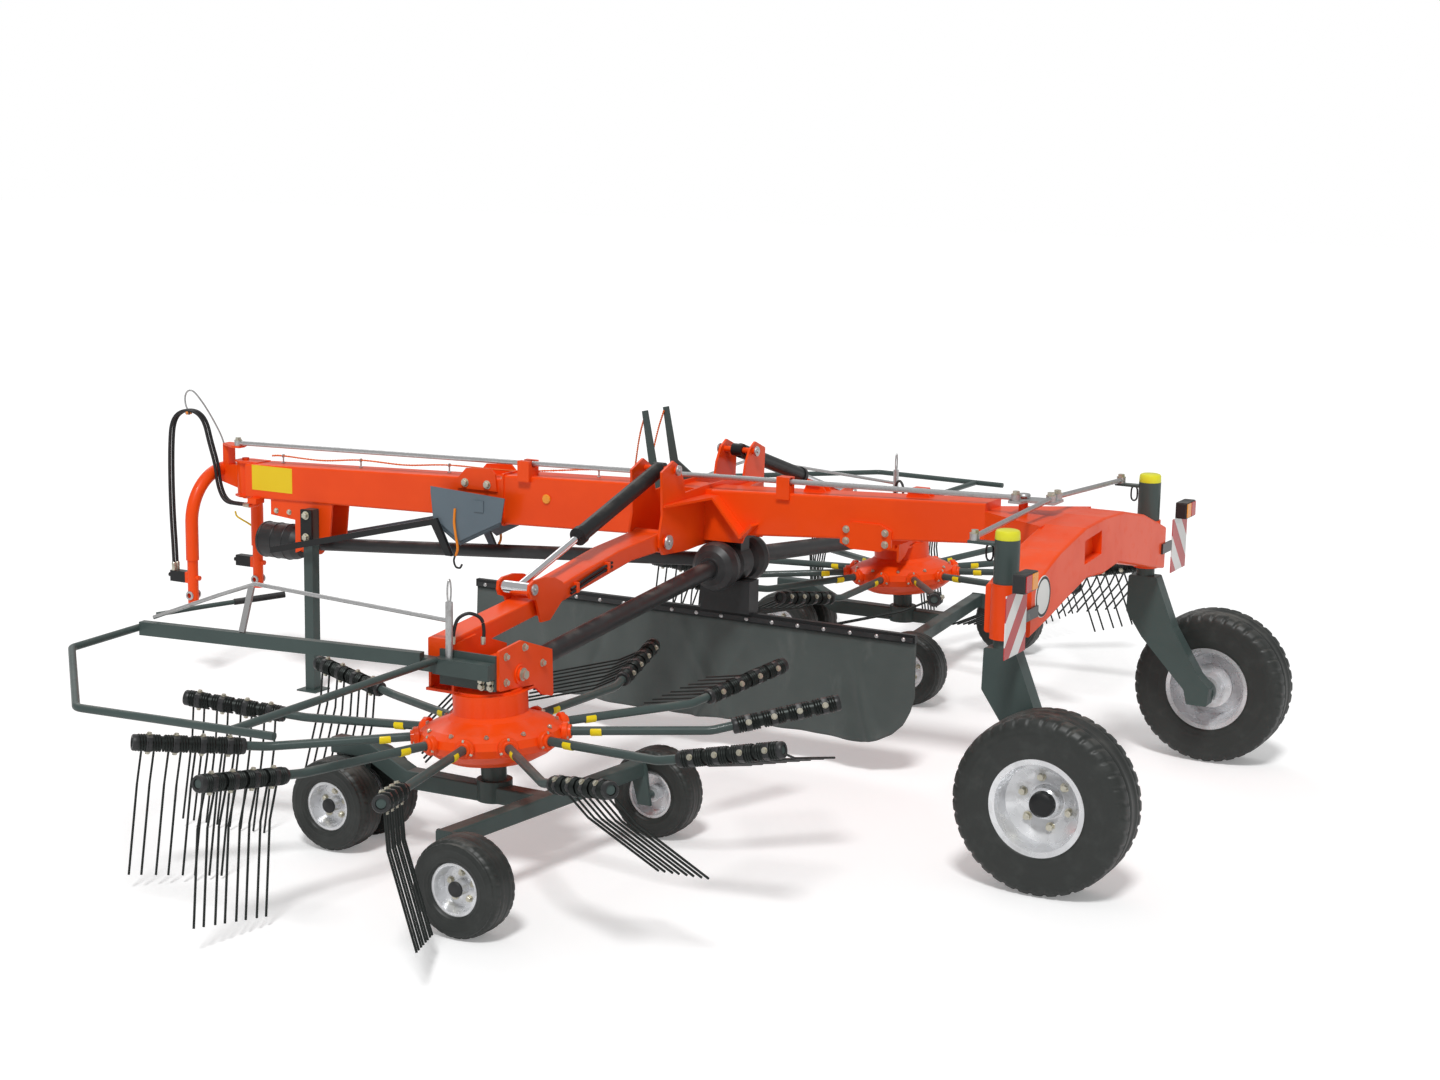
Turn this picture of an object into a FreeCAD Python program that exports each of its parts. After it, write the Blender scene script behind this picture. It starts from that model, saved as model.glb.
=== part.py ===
"""Twin-rotor semi-mounted rotary rake, unfolded and parked on its stand and wheels.

Row frame: +X points forward to the tractor, +Y to the left, +Z up, the origin on
the ground under the middle of the machine.  All lengths in millimetres.  Stations
along X are measured from the rear wheel axle and moved into the row frame by
axle_x, the Placement of every sub-part.
"""
import FreeCAD
import Part
import Sketcher
import math
import os
import re
from FreeCAD import Placement, Rotation, Vector

doc = FreeCAD.newDocument("RotaryRake")
sheet = doc.addObject("Spreadsheet::Sheet", "Sizes")

# ------------------------------------------------------------------ driving dimensions
SIZES = [
    # whole machine
    ("nose_x", "=arch_x + leg_r + 135", "front-most point, ahead of the rear axle"),
    ("axle_x", "=(wheel_r - nose_x) / 2", "rear axle station in the row frame"),
    ("run_gap", 0.3, "running gap round shafts, pins and faces that turn"),
    ("joint_gap", 3, "side gap between the ears of a joint"),
    # beams
    ("beam_w", 200, "width of the rear and middle beam"),
    ("nose_w", 180, "width of the slimmer front beam section"),
    ("beam_back_x", 760, "rear end of the rear beam"),
    ("mid_back_x", 2220, "rear face of the centre frame"),
    ("mid_front_x", "=mid_back_x + 240", "front face of the centre frame"),
    ("step_x", 3460, "station where the front beam steps down"),
    ("beam_front_x", 5200, "front end of the front beam"),
    ("back_low", 1231, "underside of the beam at its rear end"),
    ("back_high", 1424, "top of the beam at its rear end"),
    ("mid_low", 1131, "underside at the centre frame's rear face"),
    ("mid_high", 1357, "top at the centre frame"),
    ("mid_front_low", 1095, "underside at the centre frame's front face"),
    ("step_low", 1060, "underside just behind the step"),
    ("step_high", 1322, "top just behind the step"),
    ("nose_step_low", 1085, "underside just ahead of the step"),
    ("nose_step_high", 1300, "top just ahead of the step"),
    ("nose_low", 1040, "underside at the front end"),
    ("nose_high", 1232, "top at the front end"),
    ("beam_round", 12, "corner radius of the beams"),
    ("plate", 12, "thickness of the heavy plates"),
    # headstock
    ("head_x", "=beam_front_x + 70", "vertical hinge of the headstock"),
    ("arch_x", "=head_x + 160", "plane of the hitch arch"),
    ("leg_y", 280, "half the distance between the hitch legs"),
    ("arch_z", 900, "height where the legs meet the arch"),
    ("leg_r", 36, "radius of the arch tube"),
    ("foot_r", 30, "radius of the leg ends"),
    ("leg_step_z", 690, "height where the leg ends begin"),
    ("leg_low", 440, "lower end of the legs"),
    ("link_z", 490, "height of the lower-link holes"),
    ("link_r", 14.25, "lower-link hole radius, category II"),
    ("head_pin_r", 20, "headstock hinge pin radius"),
    ("head_tube_r", 48, "headstock hinge tube radius"),
    ("catch_z", 590, "height of the catch blocks"),
    # steering
    ("lever_y", 60, "steering lever length on the headstock"),
    ("lever_z", 1315, "underside of the steering lever"),
    ("crank_x", "=king_x + 300", "bell crank pivot station"),
    ("crank_y", 100, "bell crank arm for the long rod"),
    ("crank_z", 1440, "underside of the bell crank"),
    ("steer_arm", 150, "arm length of the bell crank's tie side and of the knuckles"),
    ("tie_pin_y", 45, "half the distance between the inner tie-rod pins"),
    ("lever_t", 12, "thickness of levers and crank"),
    ("rod_r", 13, "radius of the long steering rod"),
    ("tie_r", 12, "radius of the tie rods"),
    ("eye_r", 22, "radius of the rod eyes"),
    ("eye_t", 28, "height of the rod eyes"),
    # axle, knuckles and rear wheels
    ("axle_back_x", "=king_x - 105", "rear face of the axle beam"),
    ("axle_front_x", "=king_x + 105", "front face of the axle beam"),
    ("king_x", 310, "kingpin station"),
    ("king_y", 970, "kingpin distance from the centre plane"),
    ("king_r", 45, "kingpin radius"),
    ("sleeve_r", 62, "kingpin sleeve radius"),
    ("sleeve_low", 1000, "lower end of the sleeves"),
    ("sleeve_high", 1240, "upper end of the sleeves"),
    ("post_r", 55, "radius of the post above the sleeve"),
    ("post_high", "=knuckle_arm_z + 30", "top of the post"),
    ("knuckle_arm_z", 1400, "underside of the knuckle arm"),
    ("leg_y_in", "=king_y - wheel_leg_w / 2", "inner face of the wheel leg"),
    ("wheel_leg_w", 90, "width of the wheel leg"),
    ("track_y", "=leg_y_in + wheel_leg_w + wheel_w / 2 + 63", "rear wheel centre from the centre plane"),
    ("wheel_r", 385, "rear tyre radius"),
    ("wheel_w", 264, "rear tyre width"),
    ("rim_r", 210, "rear rim flange radius"),
    ("stub_r", 40, "stub axle radius"),
    # centre frame, arms and lift cylinders
    ("arm_x", "=mid_back_x + 120", "centre plane of the arms"),
    ("arm_w", 150, "arm width along X"),
    ("pivot_y", 500, "arm pivot distance from the centre plane"),
    ("pivot_z", 1150, "arm pivot height"),
    ("pivot_pin_r", 25, "arm pivot pin radius"),
    ("anchor_y", "=pivot_y - 90", "upper cylinder pin"),
    ("anchor_z", 1490, "upper cylinder pin height"),
    ("lug_y", "=pivot_y + 1160", "cylinder rod eye on the arm"),
    ("lug_z", "=pivot_z - 40", "cylinder rod eye height"),
    ("barrel_len", 780, "cylinder barrel, pin to gland"),
    ("barrel_r", 38, "cylinder barrel radius"),
    ("piston_r", 17.5, "cylinder rod radius"),
    ("lift_pin_r", 15, "cylinder pin radius"),
    # rotors
    ("rotor_x", "=arm_x - 190", "rotor axis station"),
    ("rotor_y", 2140, "rotor axis distance from the centre plane"),
    ("rotor_tilt", 3.2, "forward tilt of the rotor axis, degrees"),
    ("hub_r", 310, "rotor housing radius"),
    ("hub_low", 480, "underside of the rotor housing"),
    ("hub_rim_low", 545, "lower edge of the housing rim"),
    ("hub_rim_high", 610, "upper edge of the housing rim"),
    ("hub_high", 680, "top of the rotor housing"),
    ("neck_r", 160, "radius of the fixed neck over the housing"),
    ("neck_high", 800, "top of the neck"),
    ("mast_r", 55, "radius of the fixed mast through the housing"),
    ("arm_count", 11, "tine arms on each rotor"),
    ("tine_arm_r", 19, "tine arm radius"),
    ("tine_arm_z", 592, "height of the tine arms"),
    ("tine_tip_r", "=rotor_y - 651", "radius to the tine arm ends"),
    ("holder_start_r", "=tine_tip_r - 472", "radius where the tine holders begin"),
    ("kink_deg", 14.1, "backward bend of the outer tine arm"),
    ("tip_rise", 90, "rise of the outer tine arm"),
    ("tine_wire_r", 5, "tine wire radius"),
    ("tine_len", 545, "tine length"),
    ("phase_deg", -27.5, "angle of the first tine arm from +X"),
    # rotor chassis
    ("small_r", 202.5, "rotor wheel radius"),
    ("small_w", 165, "rotor wheel width"),
    ("small_rim_r", 114, "rotor wheel rim radius"),
    ("twin_x", "=rotor_x + 710", "front wheel pair axle"),
    ("twin_y", "=rotor_y + 20", "middle of the front wheel pair"),
    ("twin_half", 130, "front wheels from the middle of the pair"),
    ("tail_x", "=rotor_x - 390", "rear rotor wheel axle"),
    ("outer_y", "=rotor_y + 770", "outer rear rotor wheel"),
    ("inner_y", "=rotor_y - 740", "inner rear rotor wheel"),
    ("chassis_z", 330, "centre height of the chassis beams"),
    ("small_stub_r", 18, "rotor wheel stub radius"),
    # drive line
    ("drive_front_z", 800, "drive line height at the front bearing"),
    ("gear_x", "=rotor_x", "centre gearbox station"),
    ("gear_z", 985, "centre gearbox height"),
    ("gear_r", 125, "centre gearbox radius"),
    ("drive_r", 36, "front drive line guard radius"),
    ("side_drive_r", 44, "rotor drive shaft guard radius"),
    ("pto_r", 17.45, "input shaft radius, 1 3/8 inch"),
    ("bell_r", 100, "input guard radius"),
    # guards, stand, curtain
    ("guard_z", 912, "height of the guard frames"),
    ("guard_r", 16, "guard tube radius"),
    ("input_x", "=stand_x + 140", "rear end of the input shaft"),
    ("stand_x", "=beam_front_x - 480", "parking stand station"),
    ("stand_y", 115, "parking stand distance from the centre plane"),
    ("stand_w", 60, "parking stand tube width"),
    ("stand_pin_z", 995, "parking stand hinge height"),
    ("curtain_t", 6, "curtain thickness"),
    ("curtain_low", 165, "lower edge of the curtain"),
]

for row, (alias, value, note) in enumerate(SIZES, start=1):
    sheet.set("B%d" % row, str(value))
    sheet.set("A%d" % row, alias)
    sheet.set("C%d" % row, note)
    sheet.setAlias("B%d" % row, alias)
doc.recompute()

KNOWN = {alias for alias, value, note in SIZES}
AXES = {"X": Vector(1, 0, 0), "Y": Vector(0, 1, 0), "Z": Vector(0, 0, 1)}
pieces = []


def size(alias):
    """The value of one cell, for shapes made with Part's own functions."""
    return float(sheet.get(alias))


def cells(text):
    """Turn an expression in plain aliases into one that reads the sheet."""
    return re.sub(r"[a-z_]{3,}", lambda m: "Sizes." + m[0] if m[0] in KNOWN else m[0], str(text))


def bind(thing, path, text):
    """Bind one property of a document object to the sheet."""
    thing.setExpression(path, cells(text))


spots = {}


def place(thing, base, axis=None, angle=0):
    """Bind a Placement: base is three expressions, axis a triple of expressions."""
    spots[thing.Name] = (base, axis, angle)
    spot = "vector(%s; %s; %s)" % tuple("(%s) * 1" % part for part in base)
    turn = "rotation(vector(0; 0; 1); 0)"
    if axis is not None:
        turn = "rotation(vector(%s; %s; %s); %s)" % (*axis, angle)
    bind(thing, "Placement", "placement(%s; %s)" % (spot, turn))


# ------------------------------------------------------------------ primitives
def box(length, width, height, corner, axis=None, angle=0):
    """A Part::Box with its low corner at corner, turned about that corner."""
    thing = doc.addObject("Part::Box", "Block")
    bind(thing, "Length", length)
    bind(thing, "Width", width)
    bind(thing, "Height", height)
    place(thing, corner, axis, angle)
    return thing


def cylinder(radius, height, base, along="Z"):
    """A Part::Cylinder that starts at base and runs along +X, +Y or +Z."""
    thing = doc.addObject("Part::Cylinder", "Round")
    bind(thing, "Radius", radius)
    bind(thing, "Height", height)
    turns = {"X": ((0, 1, 0), 90), "Y": ((-1, 0, 0), 90), "Z": (None, 0)}
    place(thing, base, *turns[along])
    return thing


def strut(radius, start, end):
    """A round bar between two points, each given as three expressions."""
    across, aside, rise = ["(%s - (%s))" % (e, s) for s, e in zip(start, end)]
    length = "sqrt(%s^2 + %s^2 + %s^2)" % (across, aside, rise)
    thing = doc.addObject("Part::Cylinder", "Bar")
    bind(thing, "Radius", radius)
    bind(thing, "Height", length)
    place(thing, start, ("-" + aside, across, "0"), "acos(%s / %s)" % (rise, length))
    return thing


def fuse(*things):
    thing = doc.addObject("Part::MultiFuse", "Joined")
    thing.Shapes = list(things)
    thing.Refine = True
    return thing


def cut(base, *tools):
    thing = doc.addObject("Part::Cut", "Opened")
    thing.Base = base
    thing.Tool = tools[0] if len(tools) == 1 else fuse(*tools)
    thing.Refine = True
    return thing


def bundle(*things):
    """Several separate solids kept as one sub-part."""
    thing = doc.addObject("Part::Compound", "Set")
    thing.Links = list(things)
    return thing


def mirrored(source):
    thing = doc.addObject("Part::Mirroring", "Mirrored")
    thing.Source = source
    thing.Base = Vector(0, 0, 0)
    thing.Normal = AXES["Y"]
    return thing


def node(thing, label):
    """Name a finished sub-part and move it from the axle's frame to the row frame."""
    thing.Label = label
    if thing.Name in spots:
        (along, across, up), axis, angle = spots[thing.Name]
        place(thing, ("axle_x + " + along, across, up), axis, angle)
    else:
        bind(thing, "Placement.Base.x", "axle_x")
    pieces.append(thing)
    return thing


def pair(thing, name):
    """A left sub-part and its mirror image on the right."""
    node(thing, name + "_left")
    twin = mirrored(thing)
    twin.Label = name + "_right"
    pieces.append(twin)


# ------------------------------------------------------------------ sketched bodies
def sketch(body, plane, outline, offset="0"):
    """A closed outline of straight lines, every corner bound to the sheet."""
    flat = [item for item in body.Origin.OriginFeatures if item.Role == plane + "_Plane"][0]
    drawing = body.newObject("Sketcher::SketchObject", "Outline")
    drawing.AttachmentSupport = [(flat, "")]
    drawing.MapMode = "FlatFace"
    bind(drawing, "AttachmentOffset.Base.z", offset)
    corners = [(float_of(across), float_of(up)) for across, up in outline]
    for here, there in zip(corners, corners[1:] + corners[:1]):
        drawing.addGeometry(Part.LineSegment(Vector(*here, 0), Vector(*there, 0)))
    count = len(corners)
    for index in range(count):
        after = (index + 1) % count
        drawing.addConstraint(Sketcher.Constraint("Coincident", index, 2, after, 1))
    for index, (across, up) in enumerate(outline):
        for kind, text, value in (("DistanceX", across, corners[index][0]),
                                  ("DistanceY", up, corners[index][1])):
            rule = Sketcher.Constraint(kind, -1, 1, index, 1, value)
            number = drawing.addConstraint(rule)
            bind(drawing, "Constraints[%d]" % number, text)
    return drawing


scratch = doc.addObject("App::FeaturePython", "Evaluator")
scratch.addProperty("App::PropertyFloat", "Value")


def float_of(text):
    """The present value of an expression, through the document's own evaluator."""
    return float(scratch.evalExpression(cells(text)))


def slab(plane, outline, middle, thick, rounding=None, along=None):
    """A pad of an outline, centred on the plane's offset middle.

    Planes: XZ (normal -Y), YZ (normal +X), XY (normal +Z).
    """
    body = doc.addObject("PartDesign::Body", "Slab")
    offset = "-(%s)" % middle if plane == "XZ" else middle
    drawing = sketch(body, plane, outline, offset)
    pad = body.newObject("PartDesign::Pad", "Pad")
    pad.Profile = drawing
    pad.Midplane = True
    bind(pad, "Length", thick)
    if rounding:
        round_edges(body, pad, rounding, along)
    return body


def round_edges(body, feature, radius, along):
    """Round the straight edges that run along one axis, or nearly so."""
    doc.recompute()
    names = []
    for number, edge in enumerate(feature.Shape.Edges, start=1):
        way = edge.Vertexes[-1].Point - edge.Vertexes[0].Point
        if way.Length > 1 and abs(way.normalize().dot(AXES[along])) > 0.9:
            names.append("Edge%d" % number)
    fillet = body.newObject("PartDesign::Fillet", "Rounding")
    fillet.Base = (feature, names)
    bind(fillet, "Radius", radius)
    body.Tip = fillet


def turned(outline, base, along, rounding=None, picks=None):
    """A revolution: outline is (distance along the axis, radius), closed."""
    body = doc.addObject("PartDesign::Body", "Turned")
    drawing = sketch(body, "XY", outline)
    spin = body.newObject("PartDesign::Revolution", "Spin")
    spin.Profile = drawing
    spin.ReferenceAxis = (drawing, ["H_Axis"])
    spin.Angle = 360
    if rounding:
        doc.recompute()
        names = []
        for number, edge in enumerate(spin.Shape.Edges, start=1):
            if edge.Curve.TypeId == "Part::GeomCircle":
                spot = (edge.Curve.Center.x, edge.Curve.Radius)
                if any(abs(spot[0] - float_of(a)) < 0.5 and abs(spot[1] - float_of(r)) < 0.5
                       for a, r in picks):
                    names.append("Edge%d" % number)
        fillet = body.newObject("PartDesign::Fillet", "Rounding")
        fillet.Base = (spin, sorted(set(names)))
        bind(fillet, "Radius", rounding)
        body.Tip = fillet
    turns = {"X": (None, 0), "Y": ((0, 0, 1), 90), "Z": ((0, -1, 0), 90)}
    place(body, base, *turns[along])
    return body


# ------------------------------------------------------------------ swept tubes
def bent_path(points, bends):
    """Straight runs joined by tangent arcs, one bend radius for each corner."""
    edges = []
    last = points[0]
    for before, here, after, bend in zip(points, points[1:], points[2:], bends):
        inward = (before - here).normalize()
        outward = (after - here).normalize()
        half = math.pi / 2 - inward.getAngle(outward) / 2
        reach = bend * math.tan(half)
        start = here + inward * reach
        end = here + outward * reach
        bisector = (inward + outward).normalize()
        middle = here + bisector * (bend / math.cos(half) - bend)
        edges.append(Part.LineSegment(last, start).toShape())
        edges.append(Part.Arc(start, middle, end).toShape())
        last = end
    edges.append(Part.LineSegment(last, points[-1]).toShape())
    return Part.Wire(edges)


def tube_shape(points, radius, bends):
    """A round bar swept along a bent path."""
    points = [Vector(*spot) for spot in points]
    if not isinstance(bends, list):
        bends = [bends] * (len(points) - 2)
    path = bent_path(points, bends)
    ring = Part.Wire([Part.makeCircle(radius, points[0], points[1] - points[0])])
    return path.makePipeShell([ring], True, False)


def feature(shape, name="Swept"):
    thing = doc.addObject("Part::Feature", name)
    thing.Shape = shape
    return thing


# ------------------------------------------------------------------ beams
def front_beam():
    """The box beam from the centre frame to the headstock, with hinge ears and pin."""
    middle = slab("XZ", [("mid_front_x", "mid_front_low"), ("step_x", "step_low"),
                         ("step_x", "step_high"), ("mid_front_x", "mid_high")],
                  "0", "beam_w", "beam_round", "X")
    nose = slab("XZ", [("step_x - 40", "nose_step_low"), ("beam_front_x", "nose_low"),
                       ("beam_front_x", "nose_high"), ("step_x - 40", "nose_step_high")],
                "0", "nose_w", "beam_round", "X")
    collar = slab("YZ", [("-beam_w / 2 - 8", "step_low - 8"), ("beam_w / 2 + 8", "step_low - 8"),
                         ("beam_w / 2 + 8", "step_high + 8"), ("-beam_w / 2 - 8", "step_high + 8")],
                  "step_x", "plate", "beam_round", "X")
    ear = [("beam_front_x - 60", "-60"), ("head_x", "-60"), ("head_x + 55", "-30"),
           ("head_x + 55", "30"), ("head_x", "60"), ("beam_front_x - 60", "60")]
    top = slab("XY", ear, "nose_high + plate / 2 - 4", "plate")
    bottom = slab("XY", ear, "nose_low - plate / 2 + 4", "plate")
    pin = cylinder("head_pin_r", "nose_high - nose_low + 40", ("head_x", "0", "nose_low - 20"))
    parts = [middle, nose, collar, top, bottom, pin]
    for side in ("1", "-1"):
        cheek = [("step_x + 40", "nose_step_high - 70"), ("step_x + 50", "nose_step_high + 20"),
                 ("step_x + 80", "nose_step_high + 50"), ("step_x + 235", "nose_step_high + 40"),
                 ("step_x + 290", "nose_step_high - 20"), ("step_x + 290", "nose_step_high - 70")]
        parts.append(slab("XZ", cheek, side + " * (nose_w / 2 + plate / 2)", "plate"))
    foot = box("70", "96", "rod_r + 95", ("step_x - 175", "(crank_y + lever_y) / 2 - 50", "step_high - 20"))
    parts.append(foot)
    parts.append(box("60", "72", "30", ("head_x - 180", "62", "nose_low - 22")))
    way = strut("rod_r + 8", *rod_line())
    node(cut(fuse(*parts), way), "front_beam")


def rod_line():
    """The two ends of the long steering rod's axis."""
    return (("crank_x", "crank_y", "crank_z + lever_t + run_gap + eye_t / 2"),
            ("head_x", "lever_y", "lever_z + lever_t + run_gap + eye_t / 2"))


def rear_beam():
    """The rear box beam with its octagonal rest plates, the top rests and the rod's guide."""
    body = slab("XZ", [("beam_back_x", "back_low"), ("mid_back_x", "mid_low"),
                       ("mid_back_x", "mid_high"), ("beam_back_x", "back_high")],
                "0", "beam_w", "beam_round", "X")
    outline = [("1230", "1165"), ("1290", "1140"), ("1440", "1140"), ("1500", "1165"),
               ("1500", "1245"), ("1440", "1272"), ("1290", "1272"), ("1230", "1245")]
    rest = slab("XZ", outline, "beam_w / 2 + plate / 2", "plate")
    parts = [body, rest, mirrored(rest)]
    slope = "(back_high - mid_high) / (mid_back_x - beam_back_x)"
    for start in ("beam_back_x + 300", "beam_back_x + 850"):
        base = "back_high - (%s - beam_back_x) * %s" % (start, slope)
        rib = [(start, base + " - 30"), (start + " + 160", base + " - 40"),
               (start + " + 130", base + " + 32"), (start + " + 50", base + " + 38")]
        for middle in ("-52", "0"):
            parts.append(slab("XZ", rib, middle, "10"))
        parts.append(box("70", "84", "10", (start + " + 55", "-68", base + " + 26")))
    foot = box("70", "60", "110", ("mid_back_x - 440", "crank_y - 44", "mid_high - 10"))
    way = strut("rod_r + 8", *rod_line())
    node(cut(fuse(*parts, foot), way), "rear_beam")


def centre_frame():
    """The node between the beams, with the wing plates that carry arms and cylinders."""
    core = slab("XZ", [("mid_back_x", "mid_low"), ("mid_front_x", "mid_front_low"),
                       ("mid_front_x", "mid_high"), ("mid_back_x", "mid_high")], "0", "beam_w")
    wing = [("0", "mid_front_low - 15"), ("180", "mid_front_low - 15"),
            ("pivot_y - 210", "pivot_z - 75"), ("pivot_y + 20", "pivot_z - 62"),
            ("pivot_y + 55", "pivot_z - 20"), ("pivot_y + 58", "pivot_z + 30"),
            ("pivot_y + 30", "pivot_z + 130"), ("anchor_y + 130", "anchor_z + 5"),
            ("anchor_y + 20", "anchor_z + 48"), ("anchor_y - 40", "anchor_z + 15"),
            ("anchor_y - 85", "anchor_z - 60"), ("anchor_y - 100", "mid_high + 10"),
            ("beam_w / 2", "mid_high + 20"), ("0", "mid_high + 20")]
    parts = [core]
    for side in ("1", "-1"):
        outline = [("%s * (%s)" % (side, across), up) for across, up in wing]
        for face in ("-1", "1"):
            middle = "arm_x + %s * (arm_w / 2 + joint_gap + plate / 2)" % face
            parts.append(slab("YZ", outline, middle, "plate"))
        floor_y = "%s * (beam_w / 2 + 90) - 110" % side
        span = "arm_w + 2 * joint_gap"
        base = ("arm_x - arm_w / 2 - joint_gap", floor_y, "mid_front_low - 15")
        parts.append(box(span, "220", "plate", base))
        length = "arm_w + 2 * (joint_gap + plate) + 30"
        start = "arm_x - arm_w / 2 - joint_gap - plate - 15"
        parts.append(cylinder("pivot_pin_r", length, (start, side + " * pivot_y", "pivot_z"), "X"))
        parts.append(cylinder("lift_pin_r", length, (start, side + " * anchor_y", "anchor_z"), "X"))
        parts += gussets(side)
        latch = [("mid_front_x - 28", "mid_high - 80"), ("mid_front_x + 55", "mid_high - 60"),
                 ("mid_front_x + 108", "mid_high + 70"), ("mid_front_x + 158", "mid_high + 365"),
                 ("mid_front_x + 128", "mid_high + 372"), ("mid_front_x + 70", "mid_high + 100"),
                 ("mid_front_x - 28", "mid_high + 30")]
        parts.append(slab("XZ", latch, side + " * (beam_w / 2 + plate / 2)", "plate"))
    node(fuse(*parts), "centre_frame")


def gussets(side):
    """The web on the beam's side behind a wing, its sloping flange and the roof between them."""
    back = "arm_x - arm_w / 2 - joint_gap - plate"
    web = [(back + " + 4", "mid_high - 25"), (back + " - 75", "mid_high - 25"),
           (back + " - 235", "mid_low + 25"), (back + " - 215", "mid_low - 25"),
           (back + " + 4", "mid_front_low + 8")]
    flange = [(back + " - 75", "mid_high - 25"), (back + " - 60", "mid_high - 25"),
              (back + " - 228", "mid_low + 6"), (back + " - 300", "mid_low + 77"),
              (back + " - 291", "mid_low + 86"), (back + " - 229", "mid_low + 27")]
    roof = [(back + " + 4", side + " * beam_w / 2"), (back + " - 75", side + " * beam_w / 2"),
            (back + " - 75", side + " * (beam_w / 2 + 70)"),
            (back + " - 10", side + " * (pivot_y + 25)"), (back + " + 4", side + " * (pivot_y + 25)")]
    return [slab("XZ", web, side + " * (beam_w / 2 + plate / 2)", "plate"),
            slab("XZ", flange, side + " * (beam_w / 2 + 35)", "70"),
            slab("XY", roof, "mid_high - 31", "plate")]


def axle_beam():
    """The arched cross beam with its kingpin sleeves and the gusset to the rear beam."""
    rise = [("0", "sleeve_low + 132"), ("220", "sleeve_low + 150"), ("510", "sleeve_low + 92"),
            ("700", "sleeve_low + 50"), ("king_y - 35", "sleeve_low + 8"),
            ("king_y - 35", "sleeve_high - 20"), ("590", "sleeve_high + 88"),
            ("270", "sleeve_high + 148"), ("0", "sleeve_high + 158")]
    outline = rise[1:-1] + [rise[-1]] + [("-(%s)" % across, up) for across, up in rise[-2:0:-1]]
    outline = outline + [rise[0]]
    arch = slab("YZ", outline, "(axle_back_x + axle_front_x) / 2", "axle_front_x - axle_back_x",
                "beam_round", "Y")
    gusset = slab("XY", [("axle_front_x - 20", "-340"), ("beam_back_x", "-beam_w / 2"),
                         ("beam_back_x", "beam_w / 2"), ("axle_front_x - 20", "340")],
                  "(back_low + back_high) / 2 - 6", "back_high - back_low - 66")
    parts = [arch, gusset]
    bores = [box("45", "230", "110", ("axle_back_x - 1", "40", "sleeve_high - 5"),
                 ("1", "0", "0"), "-4")]
    for side in ("1", "-1"):
        spot = side + " * king_y"
        tall = "sleeve_high - sleeve_low"
        parts.append(cylinder("sleeve_r", tall, ("king_x", spot, "sleeve_low")))
        bores.append(cylinder("king_r + run_gap", tall + " + 20",
                              ("king_x", spot, "sleeve_low - 10")))
    parts.append(cylinder("eye_r", "crank_z - back_high + 60", ("crank_x", "0", "back_high - 60")))
    parts.append(cylinder("eye_r - 6", "lever_t + 40", ("crank_x", "0", "crank_z - 20")))
    node(cut(fuse(*parts), *bores), "axle_beam")


# ------------------------------------------------------------------ front bracket, drive line
def front_bracket():
    """The plates under the front beam with the drive line's bearing and the stand's pin."""
    outline = [("input_x + 170", "nose_low + 18"), ("input_x + 170", "nose_low - 80"),
               ("input_x", "nose_low - 95"), ("input_x", "drive_front_z - 40"),
               ("stand_x - 100", "drive_front_z + 70"), ("stand_x - 120", "nose_low + 25")]
    parts = []
    inner = "(stand_y - stand_w / 2 - plate)"
    for side in ("1", "-1"):
        parts.append(slab("XZ", outline, "%s * %s" % (side, inner), "plate"))
    housing = cylinder("drive_r + 14", "115", ("input_x - 115", "0", "drive_front_z"), "X")
    tie = box("110", "2 * " + inner, "plate", ("input_x - 115", "-" + inner, "drive_front_z + 30"))
    pin = cylinder("lift_pin_r", "stand_w + joint_gap + plate + 16",
                   ("stand_x", "stand_y - stand_w / 2 - 10", "stand_pin_z"), "Y")
    cheek = slab("XZ", [("stand_x - 38", "stand_pin_z + 32"), ("stand_x - 38", "stand_pin_z - 150"),
                        ("stand_x + 38", "stand_pin_z - 150"), ("stand_x + 38", "stand_pin_z + 32")],
                 "stand_y + stand_w / 2 + joint_gap + plate / 2", "plate", "8", "Y")
    beam = slab("XZ", [("step_x - 40", "nose_step_low"), ("beam_front_x", "nose_low"),
                       ("beam_front_x", "nose_high"), ("step_x - 40", "nose_step_high")],
                "0", "nose_w")
    bore = strut("drive_r", ("input_x", "0", "drive_front_z"),
                 ("gear_x + gear_r - 10", "0", "gear_z"))
    mouth = cylinder("drive_r + 4", "20", ("input_x - 15", "0", "drive_front_z"), "X")
    node(cut(fuse(*parts, housing, tie, pin, cheek), beam, bore, mouth), "front_bracket")


def pto_guard():
    """The open bell round the input shaft."""
    thick = 6
    outline = [("0", "drive_r"), ("0", "bell_r - 20"), ("40", "bell_r - 6"), ("90", "bell_r"),
               ("270", "bell_r"), ("270", "bell_r - %d" % thick), ("92", "bell_r - %d" % thick),
               ("44", "bell_r - 12"), ("%d" % thick, "bell_r - 26"), ("%d" % thick, "drive_r")]
    node(turned(outline, ("input_x", "0", "drive_front_z"), "X"), "pto_guard")


def drive_line():
    """The guard tube down to the centre gearbox, and the input shaft that stands on its collar."""
    shaft = cylinder("pto_r", "170", ("input_x + 8", "0", "drive_front_z"), "X")
    collar = cylinder("pto_r + 8", "18", ("input_x - 10", "0", "drive_front_z"), "X")
    front = ("input_x", "0", "drive_front_z")
    back = ("gear_x + gear_r - 10", "0", "gear_z")
    node(bundle(fuse(collar, strut("drive_r - run_gap", front, back)), shaft), "drive_line")


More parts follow.
